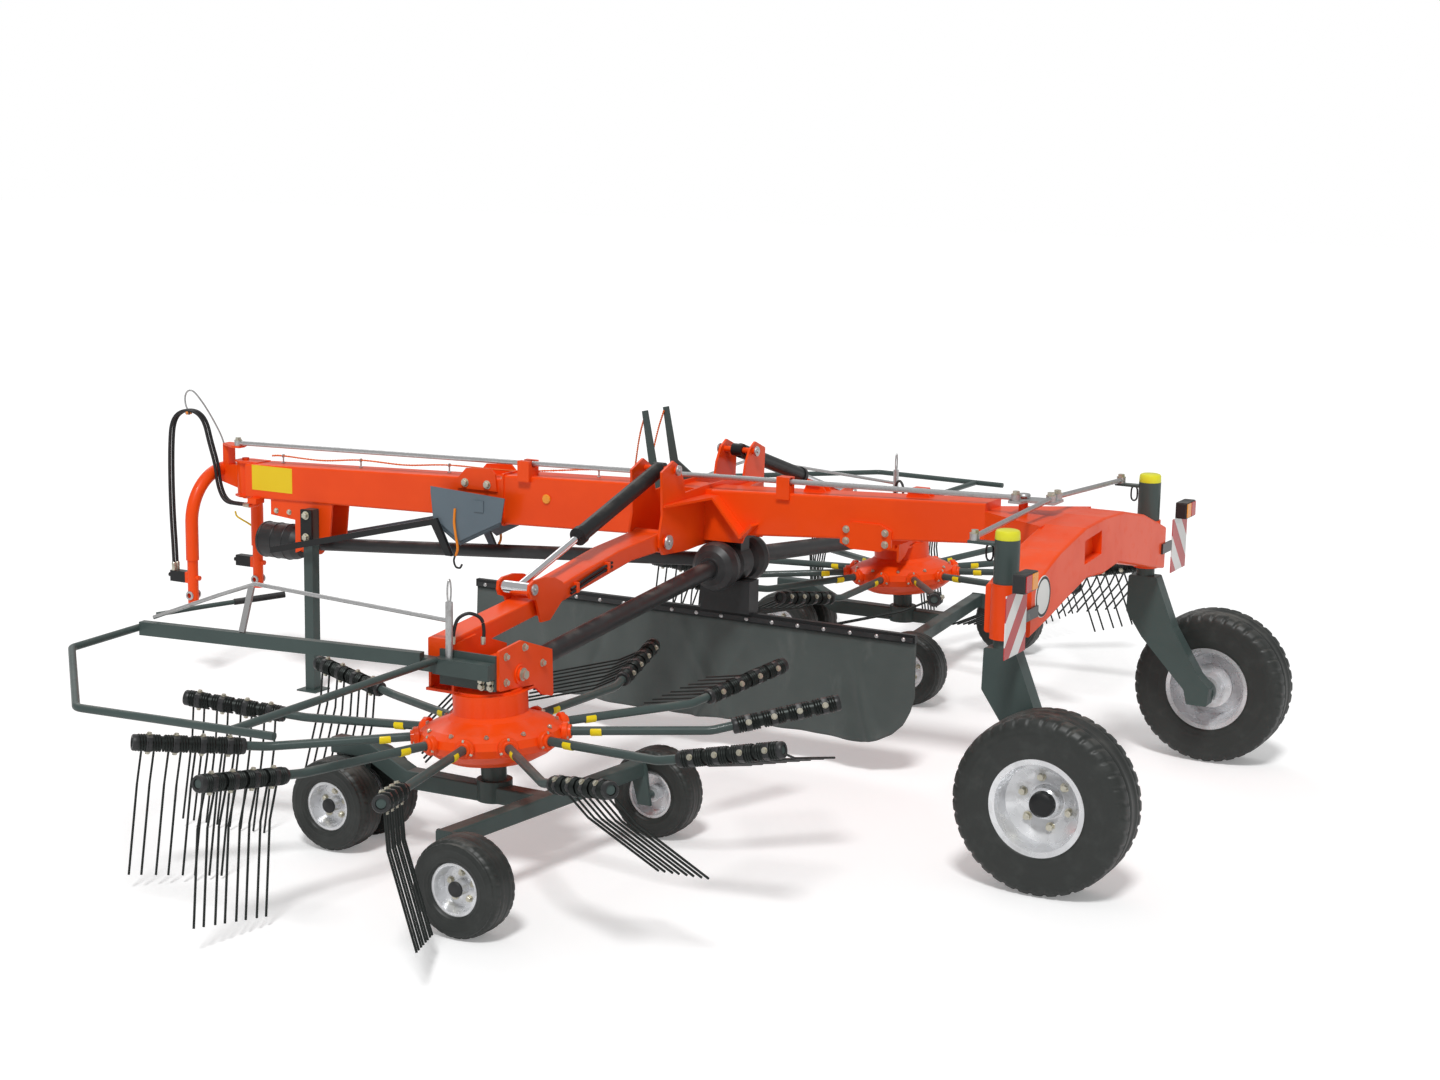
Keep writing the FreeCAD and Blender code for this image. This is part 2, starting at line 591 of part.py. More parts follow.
def centre_gearbox():
    """The gearbox that splits the drive to both rotors, with a round guard on each output."""
    half = [("0", "gear_r - 25"), ("52", "gear_r - 25"), ("70", "gear_r - 45"), ("84", "gear_r - 45"),
            ("100", "gear_r - 20"), ("130", "gear_r - 5"), ("165", "gear_r"), ("200", "gear_r - 12"),
            ("225", "gear_r - 38"), ("236", "gear_r - 66"), ("243", "gear_r - 70"), ("243", "0")]
    outline = half[1:] + [("-%s" % half[-1][0], "0")]
    outline += [("-%s" % across, up) for across, up in half[-2:0:-1]]
    case = turned(outline, ("gear_x", "0", "gear_z"), "Y")
    hanger = box("150", "90", "mid_low - gear_z", ("gear_x - 75", "-45", "gear_z"))
    flange = box("190", "150", "14", ("gear_x - 105", "-75", "mid_low - 14"))
    foot = box("280", "100", "gear_r + 40", ("gear_x - 130", "-50", "gear_z - 2 * gear_r"))
    beam = slab("XZ", [("beam_back_x", "back_low"), ("mid_back_x", "mid_low"),
                       ("mid_front_x", "mid_front_low"), ("mid_front_x", "mid_high"),
                       ("beam_back_x", "back_high")], "0", "beam_w + 60")
    bore = strut("drive_r", ("input_x", "0", "drive_front_z"),
                 ("gear_x + gear_r - 10", "0", "gear_z"))
    node(cut(fuse(case, hanger, flange, foot), beam, bore), "centre_gearbox")


# ------------------------------------------------------------------ curtain
def curtain():
    """The swath curtain and its rail under the drive line."""
    front, back = "gear_x + 1540", "gear_x - 1020"
    rail_low, rail_high = "gear_z - 2 * gear_r - 45", "gear_z - 2 * gear_r - 5"
    rail = slab("XZ", [(front, rail_low), (front, rail_high), ("gear_x + 200", "gear_z - 2 * gear_r"),
                       ("gear_x - 200", "gear_z - 2 * gear_r"), (back, rail_high),
                       (back, rail_low)], "0", "30")
    node(rail, "curtain_rail")
    sheet_body = slab("XZ", [(front, rail_low), (front, "curtain_low"),
                             (back + " + 260", "curtain_low"), (back + " + 110", "curtain_low + 60"),
                             (back + " + 20", "curtain_low + 200"), (back, rail_low)],
                      "0", "curtain_t")
    node(sheet_body, "curtain")


# ------------------------------------------------------------------ side trays, bars, rests
def side_racks():
    """The folded tray and the channel bar that stow the tine arms beside the beam."""
    tray = slab("XZ", [("step_x + 400", "1240"), ("step_x - 70", "1215"), ("step_x - 48", "1090"),
                       ("step_x + 210", "965"), ("step_x + 375", "1072")],
                "beam_w / 2 + 90", "6")
    run = slab("XZ", [("stand_x + 210", "770"), ("step_x + 380", "1035"), ("step_x + 290", "880"),
                      ("step_x + 250", "880"), ("step_x + 350", "1075"), ("stand_x + 210", "805")],
               "beam_w / 2 + 102", "24")
    lug = box("60", "98 + (beam_w - nose_w) / 2", "60", ("step_x + 60", "nose_w / 2", "1130"))
    left = fuse(tray, run, lug)
    node(bundle(left, mirrored(left)), "side_racks")


# ------------------------------------------------------------------ marker boards and lamps
def marker_boards():
    """A board and a lamp on a bracket at each end of the axle."""
    board = box("4", "240", "272", ("axle_back_x - 10", "king_y + 45", "sleeve_low - 28"))
    arm = box("10", "240", "50", ("axle_back_x - 10", "king_y - 100", "sleeve_low + 90"))
    lamp = box("55", "150", "78", ("axle_back_x - 65", "king_y + 75", "sleeve_high + 8"))
    stalk = box("10", "40", "120", ("axle_back_x - 10", "king_y + 130", "sleeve_high - 40"))
    left = fuse(board, arm, lamp, stalk)
    node(bundle(left, mirrored(left)), "marker_boards")


# ------------------------------------------------------------------ headstock
def headstock():
    """The hitch arch, its legs with lower-link holes, hinge tube and steering lever."""
    arch = doc.addObject("Part::Torus", "Arch")
    bind(arch, "Radius1", "leg_y")
    bind(arch, "Radius2", "leg_r")
    arch.Angle3 = 180
    place(arch, ("arch_x", "0", "arch_z"), (1, 1, 1), 120)
    parts = [arch]
    holes = []
    for side in ("1", "-1"):
        spot = side + " * leg_y"
        parts.append(cylinder("leg_r", "arch_z - leg_step_z", ("arch_x", spot, "leg_step_z")))
        parts.append(cylinder("foot_r", "leg_step_z - leg_low", ("arch_x", spot, "leg_low")))
        holes.append(cylinder("link_r", "4 * foot_r", ("arch_x", spot + " - 2 * foot_r", "link_z"), "Y"))
    tube_low = "nose_low + run_gap + 4"
    tube = cylinder("head_tube_r", "nose_high - nose_low - 8 - 2 * run_gap", ("head_x", "0", tube_low))
    web = slab("XZ", [("head_x", "nose_low + 30"), ("arch_x", "nose_low + 70"),
                      ("arch_x", "nose_high - 30"), ("head_x", "nose_high - 20")], "0", "60")
    mast = box("40", "60", "lever_z - nose_high + 80", ("arch_x - 60", "-30", "nose_high - 80"))
    lever = slab("XY", [("arch_x - 20", "-30"), ("arch_x - 20", "30"), ("head_x + 30", "lever_y + 25"),
                        ("head_x - 25", "lever_y + 25"), ("head_x - 25", "lever_y - 25"),
                        ("head_x + 10", "-30")], "lever_z + lever_t / 2", "lever_t")
    bore = cylinder("head_pin_r + run_gap", "nose_high - nose_low + 60", ("head_x", "0", "nose_low - 30"))
    for side in ("1", "-1"):
        spot = side + " * leg_y"
        parts.append(box("leg_r + 110", "50", "62", ("arch_x", spot + " - 25", "catch_z - 31")))
        parts.append(cylinder("12", "25", ("arch_x + leg_r + 110", spot, "catch_z"), "X"))
        parts.append(cylinder("14", "foot_r + 20", ("arch_x - foot_r - 20", spot, "catch_z"), "X"))
    solid = fuse(cut(fuse(*parts, tube, web, mast), bore, *holes), lever)
    x, top = size("head_x") - 150, size("nose_low") - 22.3
    elbows = [feature(tube_shape([(x, y, top), (x, y, top - 14.7), (x + 32, y, top - 14.7)], 10, 13),
                      "Elbow") for y in (84, 112)]
    node(bundle(solid, *elbows), "headstock")


def cord(points, radius, label):
    """A free hose: each arc is as large as its two runs allow; the radii are printed."""
    points = [Vector(*spot) for spot in points]
    bends = []
    for before, here, after in zip(points, points[1:], points[2:]):
        half = (here - before).getAngle(after - here) / 2
        shorter = min((here - before).Length, (after - here).Length)
        bends.append(0.45 * shorter / math.tan(half))
    shape = tube_shape(points, radius, bends)
    runs = [(there - here).Length for here, there in zip(points, points[1:])]
    print(label, "radii", [round(bend) for bend in bends], "runs", [round(run) for run in runs])
    along = bent_path(points, bends).Length
    print(label, "length", round(along), "volume ratio",
          round(shape.Volume / (math.pi * radius ** 2 * along), 4))
    node(feature(shape, label), label)


def hoses():
    """Two hydraulic hoses from under the beam, up over their support, to the catch block."""
    x, y = size("head_x"), size("leg_y")
    low = size("catch_z") + 31.3
    under = size("nose_low") - 37
    for label, shift in (("pressure_hose", 0), ("return_hose", 28)):
        cord([(x - 118, 84 + shift, under), (x - 30, 84 + shift, under),
              (x + 62, 89 + shift, under + 4), (x + 104, 96 + shift, 1095), (x + 108, 106 + shift, 1215),
              (x + 140, 120 + shift, 1345), (x + 159, 135 + shift, 1465),
              (x + 204, 160 + shift, 1522), (x + 275, 196 + shift, 1521),
              (x + 321, 221 + shift, 1462), (x + 322, 238 + shift, 1320), (x + 316, 250 + shift, 1110),
              (x + 303, 260 + shift, 910), (x + 285, y - 14 + shift, 745),
              (x + 285, y - 14 + shift, low)], 9, label)


# ------------------------------------------------------------------ steering
def steering_rod():
    start, end = rod_line()
    eyes = [cylinder("eye_r", "eye_t", (x, y, "%s - eye_t / 2" % z)) for x, y, z in (start, end)]
    node(fuse(strut("rod_r", start, end), *eyes), "steering_rod")


def bell_crank():
    """The plate that turns the long rod's pull into the tie rods' push."""
    plate_body = slab("XY", [("crank_x + 32", "-32"), ("crank_x + 32", "crank_y + 25"),
                             ("crank_x - 32", "crank_y + 25"), ("crank_x - 40", "60"),
                             ("crank_x - steer_arm - 25", "tie_pin_y + 25"),
                             ("crank_x - steer_arm - 25", "-tie_pin_y - 25"),
                             ("crank_x - 40", "-50")],
                      "crank_z + lever_t / 2", "lever_t", "8", "Z")
    bore = cylinder("eye_r - 6 + run_gap", "100", ("crank_x", "0", "crank_z - 40"))
    seat = cylinder("eye_r + 8", "100", ("crank_x", "0", "crank_z - 100 + run_gap"))
    node(cut(plate_body, bore, seat), "bell_crank")


def tie_rod():
    inner = ("crank_x - steer_arm", "tie_pin_y", "crank_z + lever_t + run_gap + eye_t / 2")
    outer = ("king_x + steer_arm", "king_y", "knuckle_arm_z + lever_t + run_gap + eye_t / 2")
    eyes = [cylinder("eye_r", "eye_t", (x, y, "%s - eye_t / 2" % z)) for x, y, z in (inner, outer)]
    pair(fuse(strut("tie_r", inner, outer), *eyes), "tie_rod")


def knuckle():
    """Kingpin, steering arm, wheel leg and stub axle in one forging."""
    pin = cylinder("king_r", "sleeve_high - sleeve_low + 80", ("king_x", "king_y", "sleeve_low - 60"))
    post = cylinder("post_r", "post_high - sleeve_high - run_gap",
                    ("king_x", "king_y", "sleeve_high + run_gap"))
    arm = slab("XY", [("king_x", "king_y - 30"), ("king_x + steer_arm + 25", "king_y - 22"),
                      ("king_x + steer_arm + 25", "king_y + 22"), ("king_x", "king_y + 30")],
               "knuckle_arm_z + lever_t / 2", "lever_t")
    leg = slab("XZ", [("king_x - 70", "sleeve_low - 40"), ("king_x + 72", "sleeve_low - 40"),
                      ("king_x + 76", "sleeve_low - 225"), ("king_x - 10", "sleeve_low - 350"),
                      ("70", "wheel_r + 20"), ("52", "wheel_r - 52"), ("-52", "wheel_r - 52"),
                      ("-58", "wheel_r + 40"), ("0", "wheel_r + 100"),
                      ("king_x - 170", "sleeve_low - 290")],
               "leg_y_in + wheel_leg_w / 2", "wheel_leg_w", "10", "Y")
    stub = cylinder("stub_r", "track_y - leg_y_in - wheel_leg_w + 20",
                    ("0", "leg_y_in + wheel_leg_w - 10", "wheel_r"), "Y")
    collar = cylinder("stub_r + 22", "40", ("0", "leg_y_in + wheel_leg_w - 5", "wheel_r"), "Y")
    cap = cylinder("post_r - 6", "38", ("king_x", "king_y", "post_high"))
    pair(fuse(pin, post, arm, leg, stub, collar, cap), "knuckle")


# ------------------------------------------------------------------ wheels
def tyre(radius, width, rim, base):
    """A tyre section: bead, bulging side wall, shoulder and slightly crowned tread."""
    rim = "(%s)" % rim
    half = "%s / 2" % width
    side = [("-%s * 0.86" % half, rim), ("-%s" % half, "%s * 0.6 + %s * 0.4" % (rim, radius)),
            ("-%s" % half, "%s * 0.25 + %s * 0.75" % (rim, radius)),
            ("-%s * 0.82" % half, "%s * 0.95 + %s * 0.05" % (radius, rim)),
            ("-%s * 0.4" % half, "%s" % radius)]
    outline = side + [(across[1:], up) for across, up in side[::-1]]
    return turned(outline, base, "Y")


def rear_wheel():
    base = ("0", "track_y", "wheel_r")
    pair(tyre("wheel_r", "wheel_w", "rim_r - 8", base), "tyre")
    half = "wheel_w / 2 * 0.86"
    rim = turned([("-%s - 10" % half, "rim_r"), ("-%s - 4" % half, "rim_r"),
                  ("-" + half, "rim_r - 8 - run_gap"), (half, "rim_r - 8 - run_gap"),
                  ("%s + 4" % half, "rim_r"), ("%s + 10" % half, "rim_r"),
                  ("%s + 5" % half, "rim_r - 24"), ("30", "rim_r - 40"), ("8", "rim_r - 78"),
                  ("-8", "80"), ("-20", "80"), ("-20", "112"), ("-8", "rim_r - 80"),
                  ("6", "rim_r - 52"), ("-%s + 20" % half, "rim_r - 34"),
                  ("-%s - 5" % half, "rim_r - 20")], base, "Y")
    reach = "track_y - leg_y_in - wheel_leg_w - 35 - run_gap - joint_gap"
    hub = turned([("-(%s)" % reach, "stub_r + run_gap"), ("-(%s)" % reach, "75"), ("-48", "75"),
                  ("-48", "110"), ("-8", "110"), ("-8", "74"), ("30", "66"), ("44", "48"),
                  ("62", "44"), ("62", "0"), ("12", "0"), ("12", "stub_r + run_gap")], base, "Y")
    pair(fuse(rim, hub), "rim")


# ------------------------------------------------------------------ rotor support
def arm_outer():
    """Outline of the arm's slimmer outer section."""
    return [("lug_y - 120", "lug_z - 126"), ("rotor_y + 110", "lug_z - 204"),
            ("rotor_y + 110", "lug_z - 118"), ("lug_y - 120", "lug_z - 48")]


def arm():
    """The folding arm: hinge tube, flat box, slimmer outer section and the cylinder's ears."""
    eye = cylinder("pivot_pin_r + 30", "arm_w", ("arm_x - arm_w / 2", "pivot_y", "pivot_z"), "X")
    inner = slab("YZ", [("pivot_y", "pivot_z - 45"), ("pivot_y + 290", "pivot_z - 50"),
                        ("lug_y - 320", "lug_z - 90"), ("lug_y - 60", "lug_z - 130"),
                        ("lug_y - 60", "lug_z - 46"), ("lug_y - 230", "lug_z - 20"),
                        ("lug_y - 760", "lug_z + 60"), ("pivot_y + 60", "pivot_z + 45"),
                        ("pivot_y", "pivot_z + 45")], "arm_x", "arm_w", "8", "Y")
    outer = slab("YZ", arm_outer(), "arm_x", "arm_w - 30", "8", "Y")
    cheek = [("lug_y + 40", "lug_z - 10"), ("lug_y + 34", "lug_z + 26"), ("lug_y", "lug_z + 40"),
             ("lug_y - 90", "lug_z + 42"), ("lug_y - 170", "lug_z + 28"), ("lug_y - 235", "lug_z - 2"),
             ("lug_y - 262", "lug_z - 38"), ("lug_y - 240", "lug_z - 85"), ("lug_y - 135", "lug_z - 160"),
             ("lug_y - 62", "lug_z - 158"), ("lug_y - 50", "lug_z - 125"), ("lug_y - 20", "lug_z - 52"),
             ("lug_y + 28", "lug_z - 36")]
    ears = [slab("YZ", cheek, "arm_x + %s * (arm_w / 2 + plate / 2)" % face, "plate")
            for face in ("-1", "1")]
    bore = cylinder("pivot_pin_r + run_gap", "arm_w + 20", ("arm_x - arm_w / 2 - 10", "pivot_y",
                                                          "pivot_z"), "X")
    pair(cut(fuse(eye, inner, outer, *ears), bore), "arm")


def on_axis(height):
    """A point of the tilted rotor axis, by its height before the tilt."""
    return ("rotor_x + (%s - tine_arm_z) * sin(rotor_tilt)" % height, "rotor_y",
            "tine_arm_z + (%s - tine_arm_z) * cos(rotor_tilt)" % height)


def upright(radius, low, high):
    """A cylinder on the tilted rotor axis."""
    thing = cylinder(radius, "%s - (%s)" % (high, low), ("0", "0", "0"))
    place(thing, on_axis(low), ("0", "1", "0"), "rotor_tilt")
    return thing


def rotor_head():
    """The head that joins the arm's end to the rotor's fixed neck."""
    x_low, x_mid = "rotor_x - 110", "arm_x - (arm_w - 30) / 2 - plate"
    back = [("rotor_y - 310", "neck_high - 105"), ("rotor_y - 225", "neck_high - 82"),
            ("rotor_y - 150", "neck_high - 22"), ("rotor_y + 110", "neck_high"),
            ("rotor_y + 110", "neck_high + 172"), ("rotor_y - 60", "neck_high + 188"),
            ("rotor_y - 300", "neck_high + 105")]
    front = [("rotor_y - 290", "neck_high - 40"), ("rotor_y + 110", "neck_high - 40"),
             ("rotor_y + 110", "neck_high + 172"), ("rotor_y - 60", "neck_high + 188"),
             ("rotor_y - 290", "neck_high + 105")]
    saddle = [("rotor_y - 120", "neck_high - 40"), ("rotor_y + 90", "neck_high - 40"),
              ("rotor_y + 90", "neck_high + 150"), ("rotor_y + 30", "neck_high + 185"),
              ("rotor_y - 60", "neck_high + 185"), ("rotor_y - 120", "neck_high + 120")]
    parts = [slab("YZ", back, x_low + " + plate / 2", "plate", "10", "X"),
             slab("YZ", front, x_mid + " + plate / 2", "plate"),
             slab("YZ", saddle, "arm_x + (arm_w - 30) / 2 + plate / 2", "plate")]
    parts.append(box("arm_x + (arm_w - 30) / 2 + plate - (%s)" % x_low, "400", "plate",
                     (x_low, "rotor_y - 290", "neck_high - 40")))
    parts.append(box("150", "330", "130", ("rotor_x - 75", "rotor_y - 290", "neck_high - 35")))
    parts.append(upright("neck_r", "hub_high + run_gap", "neck_high - 30"))
    parts.append(upright("neck_r - 22", "hub_high + run_gap", "neck_high - 20"))
    parts.append(cylinder("30", "%s - (%s) + 18" % (x_mid, x_low),
                          (x_low + " - 14", "rotor_y - 50", "neck_high + 45"), "X"))
    parts.append(cylinder("44", "10", (x_low + " - 6", "rotor_y - 50", "neck_high + 45"), "X"))
    outer = slab("YZ", arm_outer(), "arm_x", "arm_w - 30")
    shaft = strut("side_drive_r + run_gap", ("gear_x", "230", "gear_z"), side_drive_end())
    pair(cut(fuse(*parts), outer, shaft), "rotor_head")


def side_drive_end():
    """The point inside the rotor's gear case where the side drive ends."""
    return ("rotor_x", "rotor_y - 270", "neck_high + 30")


def side_drive():
    tube = strut("side_drive_r", ("gear_x", "230", "gear_z"), side_drive_end())
    case = cylinder("side_drive_r + 20", "60", ("gear_x", "183", "gear_z"), "Y")
    pair(cut(tube, case), "side_drive")


def lift_cylinder():
    """Barrel and rod, drawn along their own axis from the upper pin to the lug."""
    run, rise = "(lug_y - anchor_y)", "(lug_z - anchor_z)"
    full = "sqrt(%s^2 + %s^2)" % (run, rise)
    barrel = turned([("20", "0"), ("20", "barrel_r"), ("barrel_len - 30", "barrel_r"),
                     ("barrel_len - 30", "barrel_r + 6"), ("barrel_len", "barrel_r + 6"),
                     ("barrel_len", "piston_r + run_gap"), ("200", "piston_r + run_gap"),
                     ("200", "0")], ("0", "0", "0"), "X")
    place(barrel, ("arm_x", "anchor_y", "anchor_z"), ("0", "-" + rise, run), "90")
    eye = cylinder("32", "60", ("arm_x - 30", "anchor_y", "anchor_z"), "X")
    bore = cylinder("lift_pin_r + run_gap", "80", ("arm_x - 40", "anchor_y", "anchor_z"), "X")
    pair(cut(fuse(barrel, eye), bore), "lift_barrel")
    rod = turned([("barrel_len - 60", "0"), ("barrel_len - 60", "piston_r"),
                  (full + " - 15", "piston_r"), (full + " - 15", "0")], ("0", "0", "0"), "X")
    place(rod, ("arm_x", "anchor_y", "anchor_z"), ("0", "-" + rise, run), "90")
    rod_eye = cylinder("28", "arm_w - 2 * joint_gap",
                       ("arm_x - arm_w / 2 + joint_gap", "lug_y", "lug_z"), "X")
    pair(fuse(rod, rod_eye), "lift_rod")


def guard_frame():
    """The tubular guard that reaches round the front and outer side of the rotor."""
    z = size("guard_z")
    x, y, r = size("rotor_x"), size("rotor_y"), size("guard_r")
    loop = tube_shape([(x + 1630, y + 360, z), (x + 1590, y + 810, z), (x + 860, y + 1540, z),
                       (x - 40, y + 1470, z)], r, 60)
    bar = tube_shape([(x + 150, y + 1490, z), (x + 170, y + 170, z)], r, 60)
    main = box("1400", "40", "60", ("rotor_x + 230", "rotor_y + 165", "guard_z - 30"),
               ("0", "0", "1"), "7")
    channel = [("rotor_y + 110", "guard_z - 112"), ("rotor_y + 122", "guard_z - 112"),
               ("rotor_y + 122", "guard_z - 58"), ("rotor_y + 176", "guard_z - 58"),
               ("rotor_y + 176", "guard_z + 10"), ("rotor_y + 122", "guard_z + 10"),
               ("rotor_y + 122", "guard_z + 40"), ("rotor_y + 110", "guard_z + 40")]
    shoe = slab("YZ", channel, "rotor_x + 42", "280")
    link = box("130", "54", "56", ("rotor_x + 150", "rotor_y + 122", "guard_z - 52"))
    pair(fuse(feature(loop), feature(bar), main, shoe, link), "guard")


def height_crank():
    """The galvanised height screw with its long rod and bent handle."""
    x, y, z = size("rotor_x"), size("rotor_y"), size("guard_z")
    rod = tube_shape([(x + 120, y + 140, z + 170), (x + 1110, y + 190, z + 225),
                      (x + 1260, y + 250, z + 170), (x + 1560, y + 340, z + 50)], 9, 60)
    screw = cylinder("16", "240", ("rotor_x + 120", "rotor_y + 140", "guard_z + 10"))
    lever = box("30", "12", "200", ("rotor_x + 1080", "rotor_y + 296", "guard_z + 30.3"),
                ("1", "0", "0"), "20")
    pair(fuse(feature(rod), screw, lever), "height_crank")


# ------------------------------------------------------------------ rotors
def hub():
    """The rotor housing: a dished drum with a socket for every tine arm."""
    drum = turned([("hub_low", "mast_r + 8"), ("hub_low", "hub_r * 0.62"),
                   ("hub_low + 28", "hub_r * 0.8"), ("hub_rim_low", "hub_r * 0.96"),
                   ("(hub_rim_low + hub_rim_high) / 2", "hub_r"), ("hub_rim_high", "hub_r * 0.97"),
                   ("hub_rim_high + 22", "hub_r * 0.86"), ("hub_high - 18", "neck_r + 24"),
                   ("hub_high", "neck_r"), ("hub_high", "mast_r + 8")], ("0", "0", "0"), "Z")
    base = [part.replace("(0 - tine_arm_z)", "-tine_arm_z") for part in on_axis("0")]
    place(drum, base, ("0", "-1", "0"), "90 - rotor_tilt")
    sockets = []
    count = int(size("arm_count"))
    for index in range(count):
        way = "(phase_deg + %d * 360 / arm_count)" % index
        ends = [("rotor_x + %s * cos(%s) * cos(rotor_tilt)" % (reach, way),
                 "rotor_y + %s * sin(%s)" % (reach, way),
                 "tine_arm_z - %s * cos(%s) * sin(rotor_tilt)" % (reach, way))
                for reach in ("(hub_r - 90)", "(hub_r + 25)")]
        sockets.append(strut("tine_arm_r + 5", *ends))
    pair(fuse(drum, *sockets), "rotor_hub")


def arm_frames():
    """Each tine arm's angle, start, kink and outer direction, on the tilted rotor."""
    frames = []
    count = int(size("arm_count"))
    lean = Rotation(Vector(0, 1, 0), size("rotor_tilt"))
    centre = Vector(size("rotor_x"), size("rotor_y"), size("tine_arm_z"))
    for index in range(count):
        angle = math.radians(size("phase_deg") + index * 360.0 / count)
        out = lean.multVec(Vector(math.cos(angle), math.sin(angle), 0))
        start = centre + out * (size("hub_r") + 25)
        kink = centre + out * (size("holder_start_r") - 80)
        bent = angle + math.radians(size("kink_deg"))
        flat = Vector(math.cos(bent), math.sin(bent), size("tip_rise") / outer_length())
        along = lean.multVec(flat.normalize())
        frames.append((angle, start, kink, along))
    return frames


def tine_roll(angle):
    """How far the cam turns a tine arm: down in front and outside, up behind and inside."""
    working = math.radians(35)
    off = abs(math.remainder(angle - working, 2 * math.pi))
    ramp = min(max((off - math.radians(55)) / math.radians(75), 0), 1)
    return math.radians(72) * ramp


def outer_length():
    """Length of a tine arm beyond its kink."""
    return size("tine_tip_r") - size("holder_start_r") + 80


def arm_bar(start, kink, along):
    """One tine arm: a bar with a single bend."""
    tip = kink + along * outer_length()
    out = Vector(kink.x - start.x, kink.y - start.y, kink.z - start.z).normalize()
    return tube_shape([tuple(start + out * size("run_gap")), tuple(kink), tuple(tip)],
                      size("tine_arm_r"), 150)


def tine_arms():
    """The bare bars of the tine arms."""
    bars = [arm_bar(start, kink, along) for angle, start, kink, along in arm_frames()]
    pair(feature(Part.makeCompound(bars)), "tine_arms")


def tine_bank(start, kink, along, roll):
    """Four double spring tines side by side: coils and clamps on the bar, two wires each."""
    r = size("tine_arm_r")
    side = Vector(0, 0, 1).cross(along).normalize()
    over = along.cross(side)
    down = over * -math.cos(roll) + side * math.sin(roll)
    ahead = over * math.sin(roll) + side * math.cos(roll)
    first, last = 105, outer_length() - 6
    bank = Part.makeCylinder(r + 9, last - first, kink + along * first, along)
    pitch = (last - first) / 4
    for group in range(4):
        base = kink + along * (first + group * pitch)
        for shift in (0.27 * pitch, 0.73 * pitch):
            coil = Part.makeCylinder(r + 14, 0.36 * pitch, base + along * (shift - 0.18 * pitch), along)
            top = base + along * shift + down * (r + 8)
            bend = top + down * (size("tine_len") * 0.28) - ahead * 18
            foot = top + down * (size("tine_len") * 0.97) + ahead * 12
            bank = bank.fuse([coil, wire_shape([top, bend, foot], size("tine_wire_r"))])
    return bank.cut(arm_bar(start, kink, along))


def tines():
    """One bank of spring tines on every arm, turned as the cam holds it."""
    banks = [tine_bank(start, kink, along, tine_roll(angle))
             for angle, start, kink, along in arm_frames()]
    pair(feature(Part.makeCompound(banks)), "tines")


def wire_shape(points, radius):
    """A thin six-sided bar through three points, mitred at the middle one."""
    solid = None
    for start, end in zip(points, points[1:]):
        way = (end - start).normalize()
        flat = way.cross(Vector(0.3, 0.5, 0.8)).normalize()
        ring = [start + Rotation(way, 60 * k).multVec(flat) * radius for k in range(7)]
        run = Part.Face(Part.makePolygon(ring)).extrude(end - start + way * radius * 0.4)
        solid = run if solid is None else solid.fuse(run)
    return solid


# ------------------------------------------------------------------ rotor chassis
def chassis():
    """Mast, the beam to the front wheel pair, the cross beam and its two wheel forks."""
    mast = upright("mast_r", "chassis_z - 35", "hub_high + run_gap")
    sole = cylinder("mast_r + 22", "hub_low - chassis_z - 58", ("rotor_x - 14", "rotor_y", "chassis_z - 35"))
    front = slab("XZ", [("rotor_x - 275", "chassis_z - 35"), ("rotor_x + 420", "chassis_z - 40"),
                        ("twin_x - 90", "small_r + 190"), ("twin_x + 100", "small_r + 190"),
                        ("twin_x + 100", "small_r + 260"), ("twin_x - 110", "small_r + 260"),
                        ("rotor_x + 400", "chassis_z + 40"), ("rotor_x - 275", "chassis_z + 35")],
                 "twin_y", "80", "8", "X")
    fork = slab("XZ", [("twin_x - 45", "small_r - 35"), ("twin_x + 45", "small_r - 35"),
                       ("twin_x + 90", "small_r + 200"), ("twin_x - 80", "small_r + 200")],
                "twin_y", "36")
    cross = slab("XY", [("rotor_x - 388", "inner_y + small_w / 2 + 24"),
                        ("rotor_x - 318", "inner_y + small_w / 2 + 24"),
                        ("rotor_x - 180", "outer_y - small_w / 2 - 24"),
                        ("rotor_x - 250", "outer_y - small_w / 2 - 24")],
                 "chassis_z", "70", "8", "Y")
    parts = [mast, sole, front, fork, cross]
    tail = {"1": ("rotor_x - 185", "rotor_x - 255"), "-1": ("rotor_x - 322", "rotor_x - 384")}
    for side, wheel in (("1", "outer_y"), ("-1", "inner_y")):
        end = "%s - %s * (small_w / 2 + 30)" % (wheel, side)
        ahead, behind = tail[side]
        parts.append(slab("XZ", [("tail_x - 32", "small_r - 35"), ("tail_x + 32", "small_r - 35"),
                                 ("tail_x + 60", "chassis_z - 60"), (ahead, "chassis_z - 42"),
                                 (ahead, "chassis_z + 38"), (behind, "chassis_z + 38"),
                                 ("tail_x - 8", "chassis_z + 2")], end, "16"))
        reach = "small_w / 2 + 30"
        low = end if side == "1" else "inner_y"
        parts.append(cylinder("small_stub_r", reach, ("tail_x", low, "small_r"), "Y"))
    bore = cylinder("small_stub_r + run_gap", "80", ("twin_x", "twin_y - 40", "small_r"), "Y")
    pair(cut(fuse(*parts), bore), "chassis")


